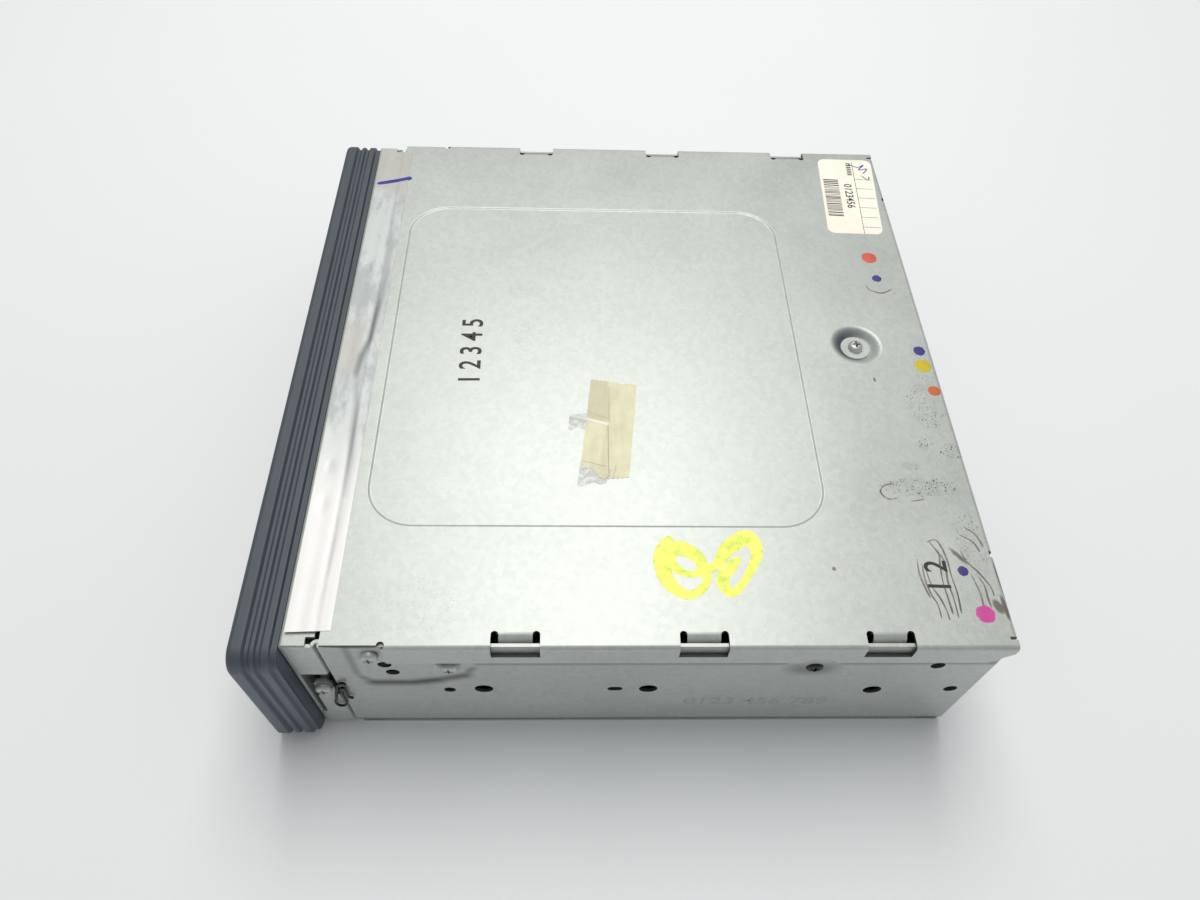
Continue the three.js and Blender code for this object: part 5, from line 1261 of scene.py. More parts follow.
# The bezel's two grooves: place along its depth and half width, as shares
BEZEL_WELLS = ((0.4, 0.085), (0.63, 0.085))
WEB_FRONT, WEB_THICKNESS = -11.5, 2.1
FACE_HALF, FACE_LOW, FACE_TOP = 88.9, 3.5, 45.9
FACE_FRONT, FACE_REAR = -19.3, -16.8
FACE_EDGE = 0.6
SLOT_HALF, SLOT_LOW, SLOT_TOP = 62, 28.9, 34.5
SLOT_LIP = 1.2
BUTTON = (74, 31.7)
LAMP = (74, 20)


def bezel_tree():
    """A tree that draws a ribbed profile round a rounded rectangle."""
    tree = Tree("bezel ring")
    half, height, wall, corner, depth, groove = [tree.size(name, default) for name, default in (
        ("Half width", 0.09), ("Height", 0.05), ("Wall", 0.003), ("Corner", 0.005), ("Depth", 0.01),
        ("Groove", 0.001))]
    count = tree.size("Profile points", 90, "NodeSocketInt")
    steps = tree.size("Corner steps", 10, "NodeSocketInt")
    line = tree.geometry("MeshLine", {"Count": count + 2, "Offset": (0, 0, 0)})
    index = tree.geometry("InputIndex")
    inner = index.over(count - 0.5)
    share = index / (count - 1)
    back = (share * (1 - inner) + (count + 1 - index) * inner) * depth
    edge = wall * 0.42
    near = (1 - back / edge).most(0)
    rounding = edge * (1 - (1 - near * near).most(0) ** 0.5)
    wells = 0
    for place, width in BEZEL_WELLS:
        wells = (1 - (abs(share - place) / width).between(0.35, 1)) + wells
    rim = share.between(0.85, 0.88) * 0.9
    ribs = 1 - share.between(0.3, 0.33)
    out = wall - rounding - (wells * 0.8 + (1 - ribs) * 0.2 + rim) * groove
    shaped = tree.geometry("SetPosition", {
        "Geometry": line, "Position": tree.vector(out * (1 - inner), back, 0)})
    profile = tree.geometry("MeshToCurve", (shaped,))
    profile = tree.geometry("SetSplineCyclic", {"Geometry": profile, "Cyclic": True})
    path = tree.geometry("CurvePrimitiveQuadrilateral", {
        "Width": (half - wall) * 2, "Height": height - wall * 2}, mode="RECTANGLE")
    path = tree.geometry("FilletCurve", {"Curve": path, "Radius": corner - wall, "Count": steps}, mode="POLY")
    path = tree.geometry("SetCurveNormal", {"Curve": path}, mode="Z_UP")
    ring = tree.geometry("CurveToMesh", {"Curve": path, "Profile Curve": profile})
    turned = tree.geometry("Transform", {
        "Geometry": ring, "Rotation": (math.pi / 2, 0, 0),
        "Translation": scene_point((0, BEZEL_FRONT, BEZEL_TOP / 2))})
    tree.real(turned, finish("bezel_plastic"))
    return tree


class OBJECT_OT_bezel(bpy.types.Operator):
    """Adds the ribbed bezel ring, its inner web and its rear tabs"""

    bl_idname = "disc_player.bezel"
    bl_label = "Bezel"

    def execute(self, context):
        sizes = context.scene.disc_bezel
        plastic = finish("bezel_plastic")
        parts = [bezel_tree().made(
            "bezel_ring", half_width=BEZEL_HALF * MM, height=BEZEL_TOP * MM, depth=BEZEL_DEPTH * MM,
            wall=sizes.wall, corner=sizes.corner, groove=sizes.groove, corner_steps=sizes.steps)]
        corners, faces = flat_pattern(rounded(-90.6, 90.6, 1.8, 47.6, 2.4), [rounded(-84, 84, 6, 43.4, 2)])
        parts.append(pressed("bezel_web", standing(corners, WEB_FRONT), faces, plastic, WEB_THICKNESS))
        strip = [(-10.2, 43), (-10.6, 38), (-11.3, 33), (-11.5, 28.8)]
        faces = [[i, i + 1, i + 5, i + 4] for i in range(3)]
        for side in (-1, 1):
            points = [(side * x, y, z) for x in (90.2, 90.9) for y, z in strip]
            parts.append(outward(pressed("bezel_tab", points, faces, finish("white_plastic"), 0.4)))
        fixed(softened(merged("ribbed_bezel", parts), 50), "unit", "bezel_plastic", "front_bezel")
        return {"FINISHED"}


def opening_walls(name, coat, *levels):
    """The inside of an opening: rings of equal length at growing depths, each a depth and a ring."""
    points = [(x, depth, z) for depth, ring in levels for x, z in ring]
    count = len(levels[0][1])
    faces = []
    for i in range(len(levels) - 1):
        for j in range(count):
            a, b = i * count + j, i * count + (j + 1) % count
            faces.append([a, a + count, b + count, b])
    return new_object(name, points, faces, coat)


class OBJECT_OT_face(bpy.types.Operator):
    """Adds the front face with its disc slot, button hole and bosses"""

    bl_idname = "disc_player.face"
    bl_label = "Front face"

    def execute(self, context):
        plastic = finish("face_plastic")
        outline = rounded(-FACE_HALF, FACE_HALF, FACE_LOW, FACE_TOP, 2.2, 6)
        inset = rounded(-FACE_HALF + FACE_EDGE, FACE_HALF - FACE_EDGE, FACE_LOW + FACE_EDGE,
                        FACE_TOP - FACE_EDGE, 1.6, 6)

        def slot(grow):
            return rounded(-SLOT_HALF - grow, SLOT_HALF + grow, SLOT_LOW - grow, SLOT_TOP + grow, 2 + grow, 8)

        def hole(grow):
            x, z = BUTTON
            return rounded(x - 6.5 - grow, x + 6.5 + grow, z - 4 - grow, z + 4 + grow, 1.4 + grow, 6)

        def lamp(grow):
            return circle(*LAMP, 1.65 + grow, 24)

        corners, faces = flat_pattern(inset, [slot(SLOT_LIP), hole(0.35), lamp(0.2)])
        parts = [new_object("front", standing(corners, FACE_FRONT), faces, plastic)]
        corners, faces = flat_pattern(outline, [slot(0), hole(0), lamp(0)])
        parts.append(new_object("rear", standing(corners, FACE_REAR), turned_over(faces), plastic))
        turns = [math.pi / 2 * i / 5 for i in range(6)]
        lips = [(FACE_FRONT + SLOT_LIP * (1 - math.cos(turn)), slot(SLOT_LIP * (1 - math.sin(turn))))
                for turn in turns]
        parts.append(opening_walls("slot_lips", plastic, *lips, (FACE_REAR, slot(0))))
        for name, opening, edge in (("hole_walls", hole, 0.35), ("lamp_walls", lamp, 0.2)):
            parts.append(opening_walls(name, plastic, (FACE_FRONT, opening(edge)),
                                       (FACE_FRONT + edge, opening(0)), (FACE_REAR, opening(0))))
        parts.append(opening_walls("edge", plastic, (FACE_REAR, outline), (FACE_FRONT + FACE_EDGE, outline),
                                   (FACE_FRONT, inset)))
        parts = [merged("face_plate", parts)]
        profile = [(0.9, 0), (2.6, 0), (2.6, 3.6), (2.4, 3.9), (0.9, 3.9)]
        root = FACE_REAR - 0.1
        parts += [turned_piece("boss", profile, (x, root, 14), "Y", 20, plastic) for x in (-34, 34)]
        parts += [block("ear", (x - 1, x + 1, root, -13.6, 34.6, 39), plastic, 0.3) for x in (-67, 67)]
        whole = softened(outward(merged("front_face", parts)), 35)
        fixed(whole, "unit", "black_plastic", "fascia_panel")
        return {"FINISHED"}


class OBJECT_OT_controls(bpy.types.Operator):
    """Adds the slot's dust flap, the eject button and the lamp lens"""

    bl_idname = "disc_player.controls"
    bl_label = "Flap, button and lens"

    def execute(self, context):
        plastic = finish("dark_plastic")
        profile = [(-14.4, 28.3), (-13.9, 28.5), (-13.75, 29), (-13.75, 34.6), (-13.9, 35.5), (-14.3, 36.6),
                   (-14.6, 36.95), (-15, 36.95), (-15.35, 36.6), (-15.4, 36.1), (-14.9, 35.2), (-14.8, 34.6),
                   (-14.8, 29), (-14.7, 28.5)]
        path = [lambda point, x=x: (x, *point) for x in (-64.9, -64.5, 64.5, 64.9)]
        flap = outward(new_object("flap", *swept(profile, path, capped=True), plastic))
        rounded_edges(flap, 0.12, 2, 50)
        fixed(softened(merged("slot_flap", [flap])), "flap", "black_plastic", "dust_flap")
        x0, z0 = BUTTON
        key = rounded(x0 - 6, x0 + 6, z0 - 3.5, z0 + 3.5, 1.2, 6)

        def key_ring(inset):
            return [(x0 + (x - x0) * (1 - inset / 6), z0 + (z - z0) * (1 - inset / 3.5)) for x, z in key]

        flange = rounded(x0 - 6.7, x0 + 6.7, z0 - 4.2, z0 + 4.2, 1.2, 6)
        levels = [(-15.7, flange), (-16.5, flange), (-16.5, key), (-19.6, key), (-19.95, key_ring(0.12)),
                  (-20.1, key_ring(0.35)), (-20.1, key_ring(1.0)), (-19.85, key_ring(1.5))]
        parts = [opening_walls("key", plastic, *levels)]
        for depth, ring in (levels[0], levels[-1]):
            parts.append(new_object("cap", standing(ring, depth), [list(range(len(ring)))], plastic))
        fixed(softened(outward(merged("eject_key", parts)), 30), "button", "black_plastic", "eject_button")
        profile = [(0, 0.3), (1.3, 0.3), (1.4, 0.45), (1.4, 4.55), (1.2, 4.85), (0.7, 5.0), (0, 5.05)]
        lens = turned_piece("lens", profile, (LAMP[0], -14.45, LAMP[1]), "-Y", 24, finish("lamp_lens"))
        fixed(softened(merged("lamp_lens", [lens]), 30), "unit", "lamp_lens", "status_lens")
        return {"FINISHED"}


# Fittings: screws, wire clip and what stands on the back


def screw_tree(coat):
    """A tree that sets a pan head with a cross recess on each point, facing along its attribute."""
    tree = Tree("pan heads")
    radius, height, shank = [tree.size(name, default) for name, default in (
        ("Radius", 0.002), ("Height", 0.0015), ("Shank", 0.0012))]
    steps = tree.size("Steps", 32, "NodeSocketInt")
    head = tree.geometry("MeshCylinder", {
        "Vertices": steps, "Side Segments": 4, "Fill Segments": 6, "Radius": radius, "Depth": height})
    x, y, z = tree.parts(tree.geometry("InputPosition"))
    away = ((x * x + y * y) ** 0.5) / radius
    raised = z / height + 0.5
    crown = raised * height * (1 - away ** 4 * 0.35)
    narrow = 1 - (raised * raised) * 0.1
    body = tree.geometry("SetPosition", {
        "Geometry": head, "Position": tree.vector(x * narrow, y * narrow, crown)})
    blade = {"Size": tree.vector(radius * 1.05, radius * 0.26, height)}
    cone = {"Vertices": 12, "Radius Top": radius * 0.3, "Radius Bottom": 0, "Depth": height * 0.75}
    for kind, values, lift, turn in (("MeshCube", blade, 0.98, 0.0), ("MeshCube", blade, 0.98, math.pi / 2),
                                     ("MeshCone", cone, 0.3, 0.0)):
        cutter = tree.geometry("Transform", {
            "Geometry": tree.geometry(kind, values), "Translation": tree.vector(0, 0, height * lift),
            "Rotation": (0, 0, turn)})
        body = tree.geometry("MeshBoolean", {"Mesh 1": body, "Mesh 2": cutter}, operation="DIFFERENCE")
    stem = tree.geometry("MeshCylinder", {"Vertices": 16, "Radius": shank, "Depth": shank * 3})
    stem = tree.geometry("Transform", {"Geometry": stem, "Translation": tree.vector(0, 0, shank * -1.5)})
    both = tree.geometry("JoinGeometry", (body,))
    tree.feed(both.socket.node.inputs[0], stem)
    facing = tree.geometry("InputNamedAttribute", {"Name": "facing"}, data_type="FLOAT_VECTOR")
    turned = tree.node("FunctionNodeAlignRotationToVector", {"Vector": facing}, axis="Z")
    tree.real(tree.geometry("InstanceOnPoints", {
        "Points": Value(tree, tree.source.outputs["Geometry"]), "Instance": both, "Rotation": turned}), coat)
    return tree


def screws(name, coat, places, radius, height):
    """A mesh of screw heads at places on the case, each with the way that it faces."""
    host = new_object(name, [place for place, _ in places], [], None)
    facing = host.data.attributes.new("facing", "FLOAT_VECTOR", "POINT")
    for i, (_, way) in enumerate(places):
        facing.data[i].vector = way
    return screw_tree(finish(coat)).made(name, host, radius=radius * MM, height=height * MM)


class OBJECT_OT_screws(bpy.types.Operator):
    """Adds the case's screws with their cross recesses"""

    bl_idname = "disc_player.screws"
    bl_label = "Screws"

    def execute(self, context):
        seat = LID_TOP - WASHER_DROP
        bright, dark = [((*DIMPLE, seat + WASHER_THICKNESS), (0, 0, 1))], []
        bright_nodes, dark_nodes = ["lid_screw"], []
        for side, word in ((1, "right"), (-1, "left")):
            for kind, (x, y, z) in SIDE_SCREWS.items():
                bright.append(((side * x, y, z), (side, 0, 0)))
                bright_nodes.append(f"screw_{kind}_{word}")
            dark.append(((side * (WALL_OUTER + 0.2), *BOSS), (side, 0, 0)))
            dark_nodes.append(f"screw_boss_{word}")
        profile = [(1.2, 0), (4, 0), (4.1, 0.1), (4.1, WASHER_THICKNESS - 0.1), (4, WASHER_THICKNESS),
                   (1.2, WASHER_THICKNESS)]
        washer = turned_piece("washer", profile, (*DIMPLE, seat), "Z", 48, finish("washer_steel"))
        fixed(softened(washer, 35), "unit", "screw_steel")
        heads = screws("bright_screws", "screw_steel", bright, 2.1, 1.55)
        fixed(softened(heads, 35), "unit", "screw_steel", *bright_nodes)
        heads = screws("boss_screws", "black_screw", dark, 2.1, 1.0)
        fixed(softened(heads, 35), "unit", "black_screw", *dark_nodes)
        return {"FINISHED"}


SPRING_FRONT, SPRING_WIDTH, SPRING_BOTTOM, SPRING_HEIGHT = -3, 4.7, 13.9, 15.5
SPRING_WIRE = 0.34
SPRING_ROUTE_SHARES = (
    (0.98, 0.95), (0.85, 1), (0.66, 0.95), (0.43, 0.79), (0.15, 0.39), (0, 0.06), (0.19, 0), (0.53, 0.14),
    (0.56, 0.3), (0.57, 0.53), (0.62, 0.75), (0.73, 0.8), (0.82, 0.73), (0.8, 0.53), (0.86, 0.39), (1, 0.36),
)


def plain_mesh(name, curve, coat):
    """The mesh of a curve or text, with one finish."""
    piece = placed(name, curve)
    bpy.context.view_layer.update()
    mesh = bpy.data.meshes.new_from_object(piece.evaluated_get(bpy.context.evaluated_depsgraph_get()))
    bpy.data.objects.remove(piece)
    mesh.materials.clear()
    mesh.materials.append(coat)
    return mesh


class OBJECT_OT_wire_clip(bpy.types.Operator):
    """Adds the bent wire clip in the gap behind the bezel"""

    bl_idname = "disc_player.wire_clip"
    bl_label = "Wire clip"

    def execute(self, context):
        curve = bpy.data.curves.new("wire_clip", "CURVE")
        curve.dimensions = "3D"
        curve.bevel_depth = SPRING_WIRE * MM
        curve.bevel_resolution = 3
        curve.resolution_u = 10
        curve.use_fill_caps = True
        spline = curve.splines.new("BEZIER")
        spline.bezier_points.add(len(SPRING_ROUTE_SHARES) - 1)
        for knot, (along, up) in zip(spline.bezier_points, SPRING_ROUTE_SHARES):
            knot.co = scene_point((WALL_OUTER + 0.65, SPRING_FRONT + SPRING_WIDTH * along,
                                   SPRING_BOTTOM + SPRING_HEIGHT * up))
            knot.handle_left_type = knot.handle_right_type = "AUTO"
        clip = placed("wire_clip", plain_mesh("wire_clip", curve, finish("spring_wire")))
        fixed(softened(outward(clip)), "unit", "black_wire", "spring_clip")
        return {"FINISHED"}


def fins(name, coat, place, **sizes):
    """Tapered fins that Geometry Nodes repeat along x, from the middle of the first. Sizes in millimetres."""
    tree = Tree("fins")
    count = tree.size("Count", 6, "NodeSocketInt")
    pitch, thickness, reach, height = [tree.size(name, default) for name, default in (
        ("Pitch", 0.005), ("Thickness", 0.0015), ("Reach", 0.006), ("Height", 0.027))]
    line = tree.geometry("MeshLine", {"Count": count, "Offset": tree.vector(pitch, 0, 0)})
    fin = tree.geometry("MeshCube", {
        "Size": tree.vector(thickness, reach, height), "Vertices X": 3, "Vertices Y": 6, "Vertices Z": 2})
    x, y, z = tree.parts(tree.geometry("InputPosition"))
    tapered = tree.geometry("SetPosition", {
        "Geometry": fin, "Position": tree.vector(x * (1 - (y / reach + 0.5) ** 2 * 0.35), y, z)})
    row = tree.geometry("InstanceOnPoints", {"Points": line, "Instance": tapered})
    tree.real(tree.geometry("Transform", {
        "Geometry": row, "Translation": tree.size("Place", (0, 0, 0), "NodeSocketVector")}), coat)
    lengths = {key: size if key == "count" else size * MM for key, size in sizes.items()}
    return tree.made(name, place=scene_point(place), **lengths)


# Fittings on the back, in millimetres
SINK_LEFT, SINK_RIGHT, SINK_REAR = -84.8, -55, 155.5
SINK_LOW, SINK_HIGH = 5.1, 31.9
SINK_BASE, SINK_REACH = 2.4, 6.2
SINK_FINS, SINK_FIN = 6, 1.6
SOCKET_LOW, SOCKET_HIGH = (20.1, 6), (61.9, 27.8)
SOCKET_WALL = 1.6
SOCKET_FRONT, SOCKET_REAR, SOCKET_FLOOR = 147.3, 161.1, 150.3
PIN_ROWS = (11, 16.9, 22.8)
PIN_COUNT, PIN_PITCH, PIN_WIDTH, PIN_REACH = 8, 4.4, 1.1, 9
AERIAL_PLACE = (-14, 152.2, 17)
AERIAL_BODY = [(0, 0.2), (6.1, 0.2), (6.1, 5.6), (4.9, 5.8), (4.9, 8.5), (4.7, 8.9), (4.1, 8.9), (3.9, 8.6),
               (3.9, 2), (0, 2)]
AERIAL_CORE = [(0, 1.5), (3.7, 1.5), (3.7, 7.2), (1.6, 7.2), (1.6, 3), (0, 3)]
AERIAL_NUT = [(6, 3.4), (8.2, 3.4), (8.3, 3.6), (8.3, 4.3), (8.1, 4.5), (6, 4.5)]
FUSE_BOX = (-47.4, -28.6, 152.6, 160.1, 12.6, 17.4)
FUSE_BLADES = (-42.8, -33.2)


class OBJECT_OT_rear_fittings(bpy.types.Operator):
    """Adds the heat sink, the pin connector, the aerial socket and the fuse"""

    bl_idname = "disc_player.rear_fittings"
    bl_label = "Rear fittings"

    def execute(self, context):
        self.heat_sink()
        self.connector()
        self.aerial_socket()
        self.fuse()
        return {"FINISHED"}

    def heat_sink(self):
        """A finned block on a flat base."""
        alloy = finish("cast_aluminium")
        base = block("base", (SINK_LEFT, SINK_RIGHT, SINK_REAR, SINK_REAR + SINK_BASE, SINK_LOW, SINK_HIGH),
                     alloy, 0.3)
        place = (SINK_LEFT + SINK_FIN / 2, SINK_REAR + SINK_BASE - 0.2 + SINK_REACH / 2,
                 (SINK_LOW + SINK_HIGH) / 2)
        row = fins("fins", alloy, place, count=SINK_FINS,
                   pitch=(SINK_RIGHT - SINK_LEFT - SINK_FIN) / (SINK_FINS - 1), thickness=SINK_FIN,
                   reach=SINK_REACH, height=SINK_HIGH - SINK_LOW)
        fixed(softened(merged("heat_sink_block", [baked(base), row])), "unit", "cast_aluminium", "heat_sink")

    def connector(self):
        """A shrouded socket with rows of pins."""
        plastic = finish("dark_plastic")
        (x0, z0), (x1, z1) = SOCKET_LOW, SOCKET_HIGH
        outer = rounded(x0, x1, z0, z1, 1, 4)
        inner = rounded(x0 + SOCKET_WALL, x1 - SOCKET_WALL, z0 + SOCKET_WALL, z1 - SOCKET_WALL, 0.6, 4)
        parts = [opening_walls("shell", plastic, (SOCKET_FRONT, outer), (SOCKET_REAR - 0.3, outer),
                               (SOCKET_REAR, outer), (SOCKET_REAR, inner), (SOCKET_FLOOR, inner))]
        for name, ring, depth in (("floor", inner, SOCKET_FLOOR), ("back", outer, SOCKET_FRONT)):
            corners, faces = flat_pattern(ring)
            parts.append(new_object(name, standing(corners, depth), faces, plastic))
        parts = [outward(merged("shroud", parts))]
        key = (36, 46, SOCKET_REAR - 3.6, SOCKET_REAR - 0.2, 25.4, 26.6)
        parts.append(baked(block("key", key, plastic, 0.2)))
        start = (x0 + x1) / 2 - PIN_PITCH * (PIN_COUNT - 1) / 2
        for z in PIN_ROWS:
            parts.append(fins("pins", finish("contact_brass"), (start, SOCKET_FLOOR + PIN_REACH / 2 - 0.1, z),
                              count=PIN_COUNT, pitch=PIN_PITCH, thickness=PIN_WIDTH, reach=PIN_REACH,
                              height=PIN_WIDTH))
        fixed(softened(merged("pin_connector", parts)), "unit", "black_plastic", "rear_connector")

    def aerial_socket(self):
        """A turned socket with an insulated centre and a hexagonal nut."""
        steel = finish("screw_steel")
        turned = (("body", AERIAL_BODY, 40, steel), ("core", AERIAL_CORE, 32, finish("white_plastic")),
                  ("nut", AERIAL_NUT, 6, steel))
        parts = [turned_piece(name, profile, AERIAL_PLACE, "Y", steps, coat)
                 for name, profile, steps, coat in turned]
        fixed(softened(merged("aerial_socket", parts)), "unit", "screw_steel", "antenna_socket")

    def fuse(self):
        """A flat blade fuse with its grip."""
        plastic = finish("fuse_plastic")
        body = block("fuse_body", FUSE_BOX, plastic, 0.7, 3)
        blades = [block("blade", (x - 2.4, x + 2.4, 142.4, 152.7, 14.6, 15.4), finish("screw_steel"), 0.15)
                  for x in FUSE_BLADES]
        ridges = fins("ridges", plastic, (FUSE_BLADES[0], 159.5, 15), count=5, pitch=2.4, thickness=0.9,
                      reach=2.6, height=4.9)
        whole = merged("blade_fuse_body", [body, ridges, *blades])
        fixed(softened(whole), "unit", "fuse_plastic", "blade_fuse")


# Tapes, label and marks on the lid

FOIL_HALF, FOIL_FRONT, FOIL_REAR = 84.9, -7.9, 2.2
FOIL_DENTS = (-31, 14, 41, 52)
# The foil's dip into the seam, sunk and painted grey as shade: along, middle across, half width, depth
FOIL_DIP = (
    (-84, -2, 1, 0), (-50, -0.4, 1, 0.2), (-40, 0.2, 1.1, 0.35), (-26.5, 0.6, 1.1, 0.55),
    (-14, -0.1, 1.1, 0.95), (-2, -0.8, 1.1, 0.95), (4, -2.4, 1.2, 0.9), (10, -3, 1.1, 0.8),
    (13, -2.6, 1, 0.35), (21, -1.4, 1, 0.45), (30, -0.8, 1.1, 0.7), (38, -0.3, 1.1, 0.6),
    (50, 0, 1, 0.35), (62, -0.4, 0.9, 0.3), (84, -1.8, 0.8, 0.1),
)
TAPE_CORNERS = ((11.2, 60.3), (44.6, 57), (43.6, 69.6), (13.1, 72.7))
TAPE_SCRAPS = (
    ((38.8, 57.4), (45.8, 56.6), (45, 63.8), (41, 65.4)),
    ((23.6, 54.6), (28.2, 54.2), (28, 59), (23.2, 59.6)),
)
# Dark lines in the tape: ends, radius, depth
TAPE_LINES = (
    ((26.8, 64.6), (43, 64.5), 0.22, 0.6), ((43, 64.5), (45.6, 62.2), 0.3, 0.6),
    ((14, 65.2), (26.6, 64.9), 0.25, 0.3), ((40, 66.4), (43.6, 65.6), 0.25, 0.4),
    ((24.6, 57.4), (26.6, 64.2), 0.3, 0.4), ((38.4, 57.8), (40.2, 63.8), 0.3, 0.4),
)
LABEL_CORNERS = ((-85.3, 137.3), (-48.5, 135.1), (-48, 152.3), (-84.9, 155.2))
LABEL_SIZE = (36.9, 17.6)
# The label's print: its corner and its height over the lid, and the pen's routes from that corner
PRINT_CORNER = (-85, 138)
PRINT_LIFT = 0.085
PEN_ROUTES = (
    ((2.2, 9.2), (3.8, 12.2), (2.6, 14.4), (5.2, 12.4), (4.6, 15.2), (7.2, 13.4)),
    ((8, 12.6), (10.4, 14.6), (8.6, 15.2)),
)
PRINT_THICKNESS = 0.012
STAMP_HEIGHT = 6


def between_corners(corners, s, t):
    """The place at two shares between four corners."""
    near, far = [[first[k] * (1 - s) + second[k] * s for k in range(2)]
                 for first, second in ((corners[0], corners[1]), (corners[3], corners[2]))]
    return [near[k] * (1 - t) + far[k] * t for k in range(2)]


def grid_faces(rows, columns):
    """Faces of a grid of points, with each row's columns in turn."""
    row = columns + 1
    return [[i * row + j, (i + 1) * row + j, (i + 1) * row + j + 1, i * row + j + 1]
            for i in range(rows) for j in range(columns)]


def sheet_between(name, corners, rows, columns, height, thickness, coat, torn=lambda s, t: s):
    """A thin sheet between four corners of the lid. Functions give its underside's height and torn ends."""
    points = []
    for i in range(rows + 1):
        for j in range(columns + 1):
            s, t = torn(i / rows, j / columns), j / columns
            x, y = between_corners(corners, s, t)
            points.append((x, y, height(s, t, x, y) + thickness))
    return thickened(new_object(name, points, grid_faces(rows, columns), coat), thickness, 60)


class OBJECT_OT_foil(bpy.types.Operator):
    """Adds the crinkled foil over the seam between the bezel and the lid"""

    bl_idname = "disc_player.foil"
    bl_label = "Foil tape"

    def execute(self, context):
        random.seed(11)
        waves = [(random.uniform(-0.05, 0.05), random.uniform(0.4, 1.6), random.uniform(0, 6.3),
                  random.uniform(0.3, 1)) for _ in range(12)]
        total = sum(wave[3] for wave in waves)

        def shaded_dip(x, y):
            along = [row[0] for row in FOIL_DIP]
            middle, half, depth = [np.interp(x, along, [row[k] for row in FOIL_DIP]) for k in (1, 2, 3)]
            return depth * math.exp(-((y - middle) / half) ** 2)

        def height(s, t, x, y):
            crinkle = sum(size * math.sin(along * x + across * y + start)
                          for along, across, start, size in waves)
            crinkle = 0.5 + 0.5 * crinkle / total * 2.4
            sag = smooth((-0.1 - y) / 1.1) * (0.3 + 0.7 * shaded_dip(x, y))
            dents = sum(math.exp(-((x - along) / 2.2) ** 2 - ((y + 5) / 1.3) ** 2) for along in FOIL_DENTS)
            return LID_TOP + 0.08 - 0.04 * crinkle - 0.2 * sag - 0.1 * min(dents, 1)

        corners = ((-FOIL_HALF, FOIL_FRONT), (FOIL_HALF, FOIL_FRONT), (FOIL_HALF - 0.3, FOIL_REAR),
                   (-FOIL_HALF + 0.2, FOIL_REAR))
        foil_sheet = sheet_between("seam_foil", corners, 340, 34, height, 0.05, finish("foil"))
        # The dip is also kept on the mesh, where the foil's finish paints it grey as shade.
        tones = {name: foil_sheet.data.attributes.new(name, "FLOAT", "POINT") for name in ("shaded_dip", "dull")}
        for i, vert in enumerate(foil_sheet.data.vertices):
            x, y = vert.co.x / MM, vert.co.y / MM - FRONT_EDGE
            tones["shaded_dip"].data[i].value = shaded_dip(x, y)
            tones["dull"].data[i].value = (0.75 * smooth((-61 + 0.4 * y - x) / 4.5)
                                           + 0.8 * math.exp(-((x - 1) / 11) ** 4) * smooth((-1.5 - y) / 2))
        fixed(foil_sheet, "unit", "foil", "foil_tape")
        return {"FINISHED"}


def strip_height(s, t, x, y):
    """Height of the clear tape: its fold, its crease and ripples over the lid's panel."""
    fold_place = 0.5 - 0.06 * s
    ridge = 0.11 * math.exp(-((t - fold_place) / 0.025) ** 2) * smooth(s * 8)
    ridge += 0.05 * smooth((0.06 - abs(t - fold_place - 0.05)) / 0.03)
    crease = 0.2 * math.exp(-((s - 0.36 - 0.14 * t) / 0.018) ** 2) * smooth((fold_place + 0.02 - t) / 0.08)
    ripple = 0.03 + 0.03 * math.sin(14 * s + 3 * t) * math.sin(9 * t)
    return LID_TOP - lid_drop(x, y) + 0.02 + max(ridge, crease) + ripple


def strip_torn(s, t):
    """Shares along the clear tape, with jagged ends and a shorter near corner."""
    end = 0.93 - 0.1 * smooth((0.47 - t) / 0.3)
    teeth = 0.03 * abs((t * 11) % 1 - 0.5)
    return s * end / 0.93 + (teeth if s < 0.5 else -teeth) * abs(2 * s - 1) + 0.006 * (1 - s)


def scrap_height(s, t, x, y):
    """Height of a wrinkled clear scrap."""
    wrinkle = 0.05 * math.sin(7 * s + 5 * t) * math.sin(11 * t + 2 * s) ** 2
    return LID_TOP - lid_drop(x, y) + 0.03 + wrinkle + 0.05


class OBJECT_OT_clear_tape(bpy.types.Operator):
    """Adds the aged strip of clear tape with its fold, crease and torn clear scraps"""

    bl_idname = "disc_player.clear_tape"
    bl_label = "Clear tape"

    def execute(self, context):
        film = context.scene.disc_marks.tape_lift / MM
        parts = [sheet_between("strip", TAPE_CORNERS, 150, 48, strip_height, film, finish("clear_tape"),
                               strip_torn)]
        parts += [sheet_between("scrap", corners, 40, 30, scrap_height, film, finish("clear_film"),
                                lambda s, t: s + 0.09 * math.sin(9 * t) * s) for corners in TAPE_SCRAPS]
        fixed(softened(merged("clear_strip", parts), 60), "unit", "aged_tape", "clear_tape")
        return {"FINISHED"}


def printed(name, text, middle, size, turn, top, coat, upright=False):
    """Printed characters on the lid, or upright on the right wall, as thin solids of a width and height."""
    curve = bpy.data.curves.new(name, "FONT")
    curve.body = text
    curve.align_x = "CENTER"
    curve.align_y = "CENTER"
    curve.offset = 0.014
    mesh = plain_mesh(name, curve, coat)
    corners = np.array([tuple(vert.co) for vert in mesh.vertices])
    low, high = corners.min(axis=0), corners.max(axis=0)
    squeeze = Matrix.Diagonal((*[part * MM / (high[k] - low[k]) for k, part in enumerate(size)], 1, 1))
    place = (top, *middle) if upright else (*middle, top)
    way = Matrix.Rotation(math.radians(turn), 4, "Z")
    if upright:
        way = Matrix(((0, 0, 1, 0), (1, 0, 0, 0), (0, 1, 0, 0), (0, 0, 0, 1))) @ way
    centred = Matrix.Translation(-Vector((low + high) / 2))
    mesh.transform(Matrix.Translation(scene_point(place)) @ way @ squeeze @ centred)
    return thickened(placed(name, mesh), PRINT_THICKNESS, 60)


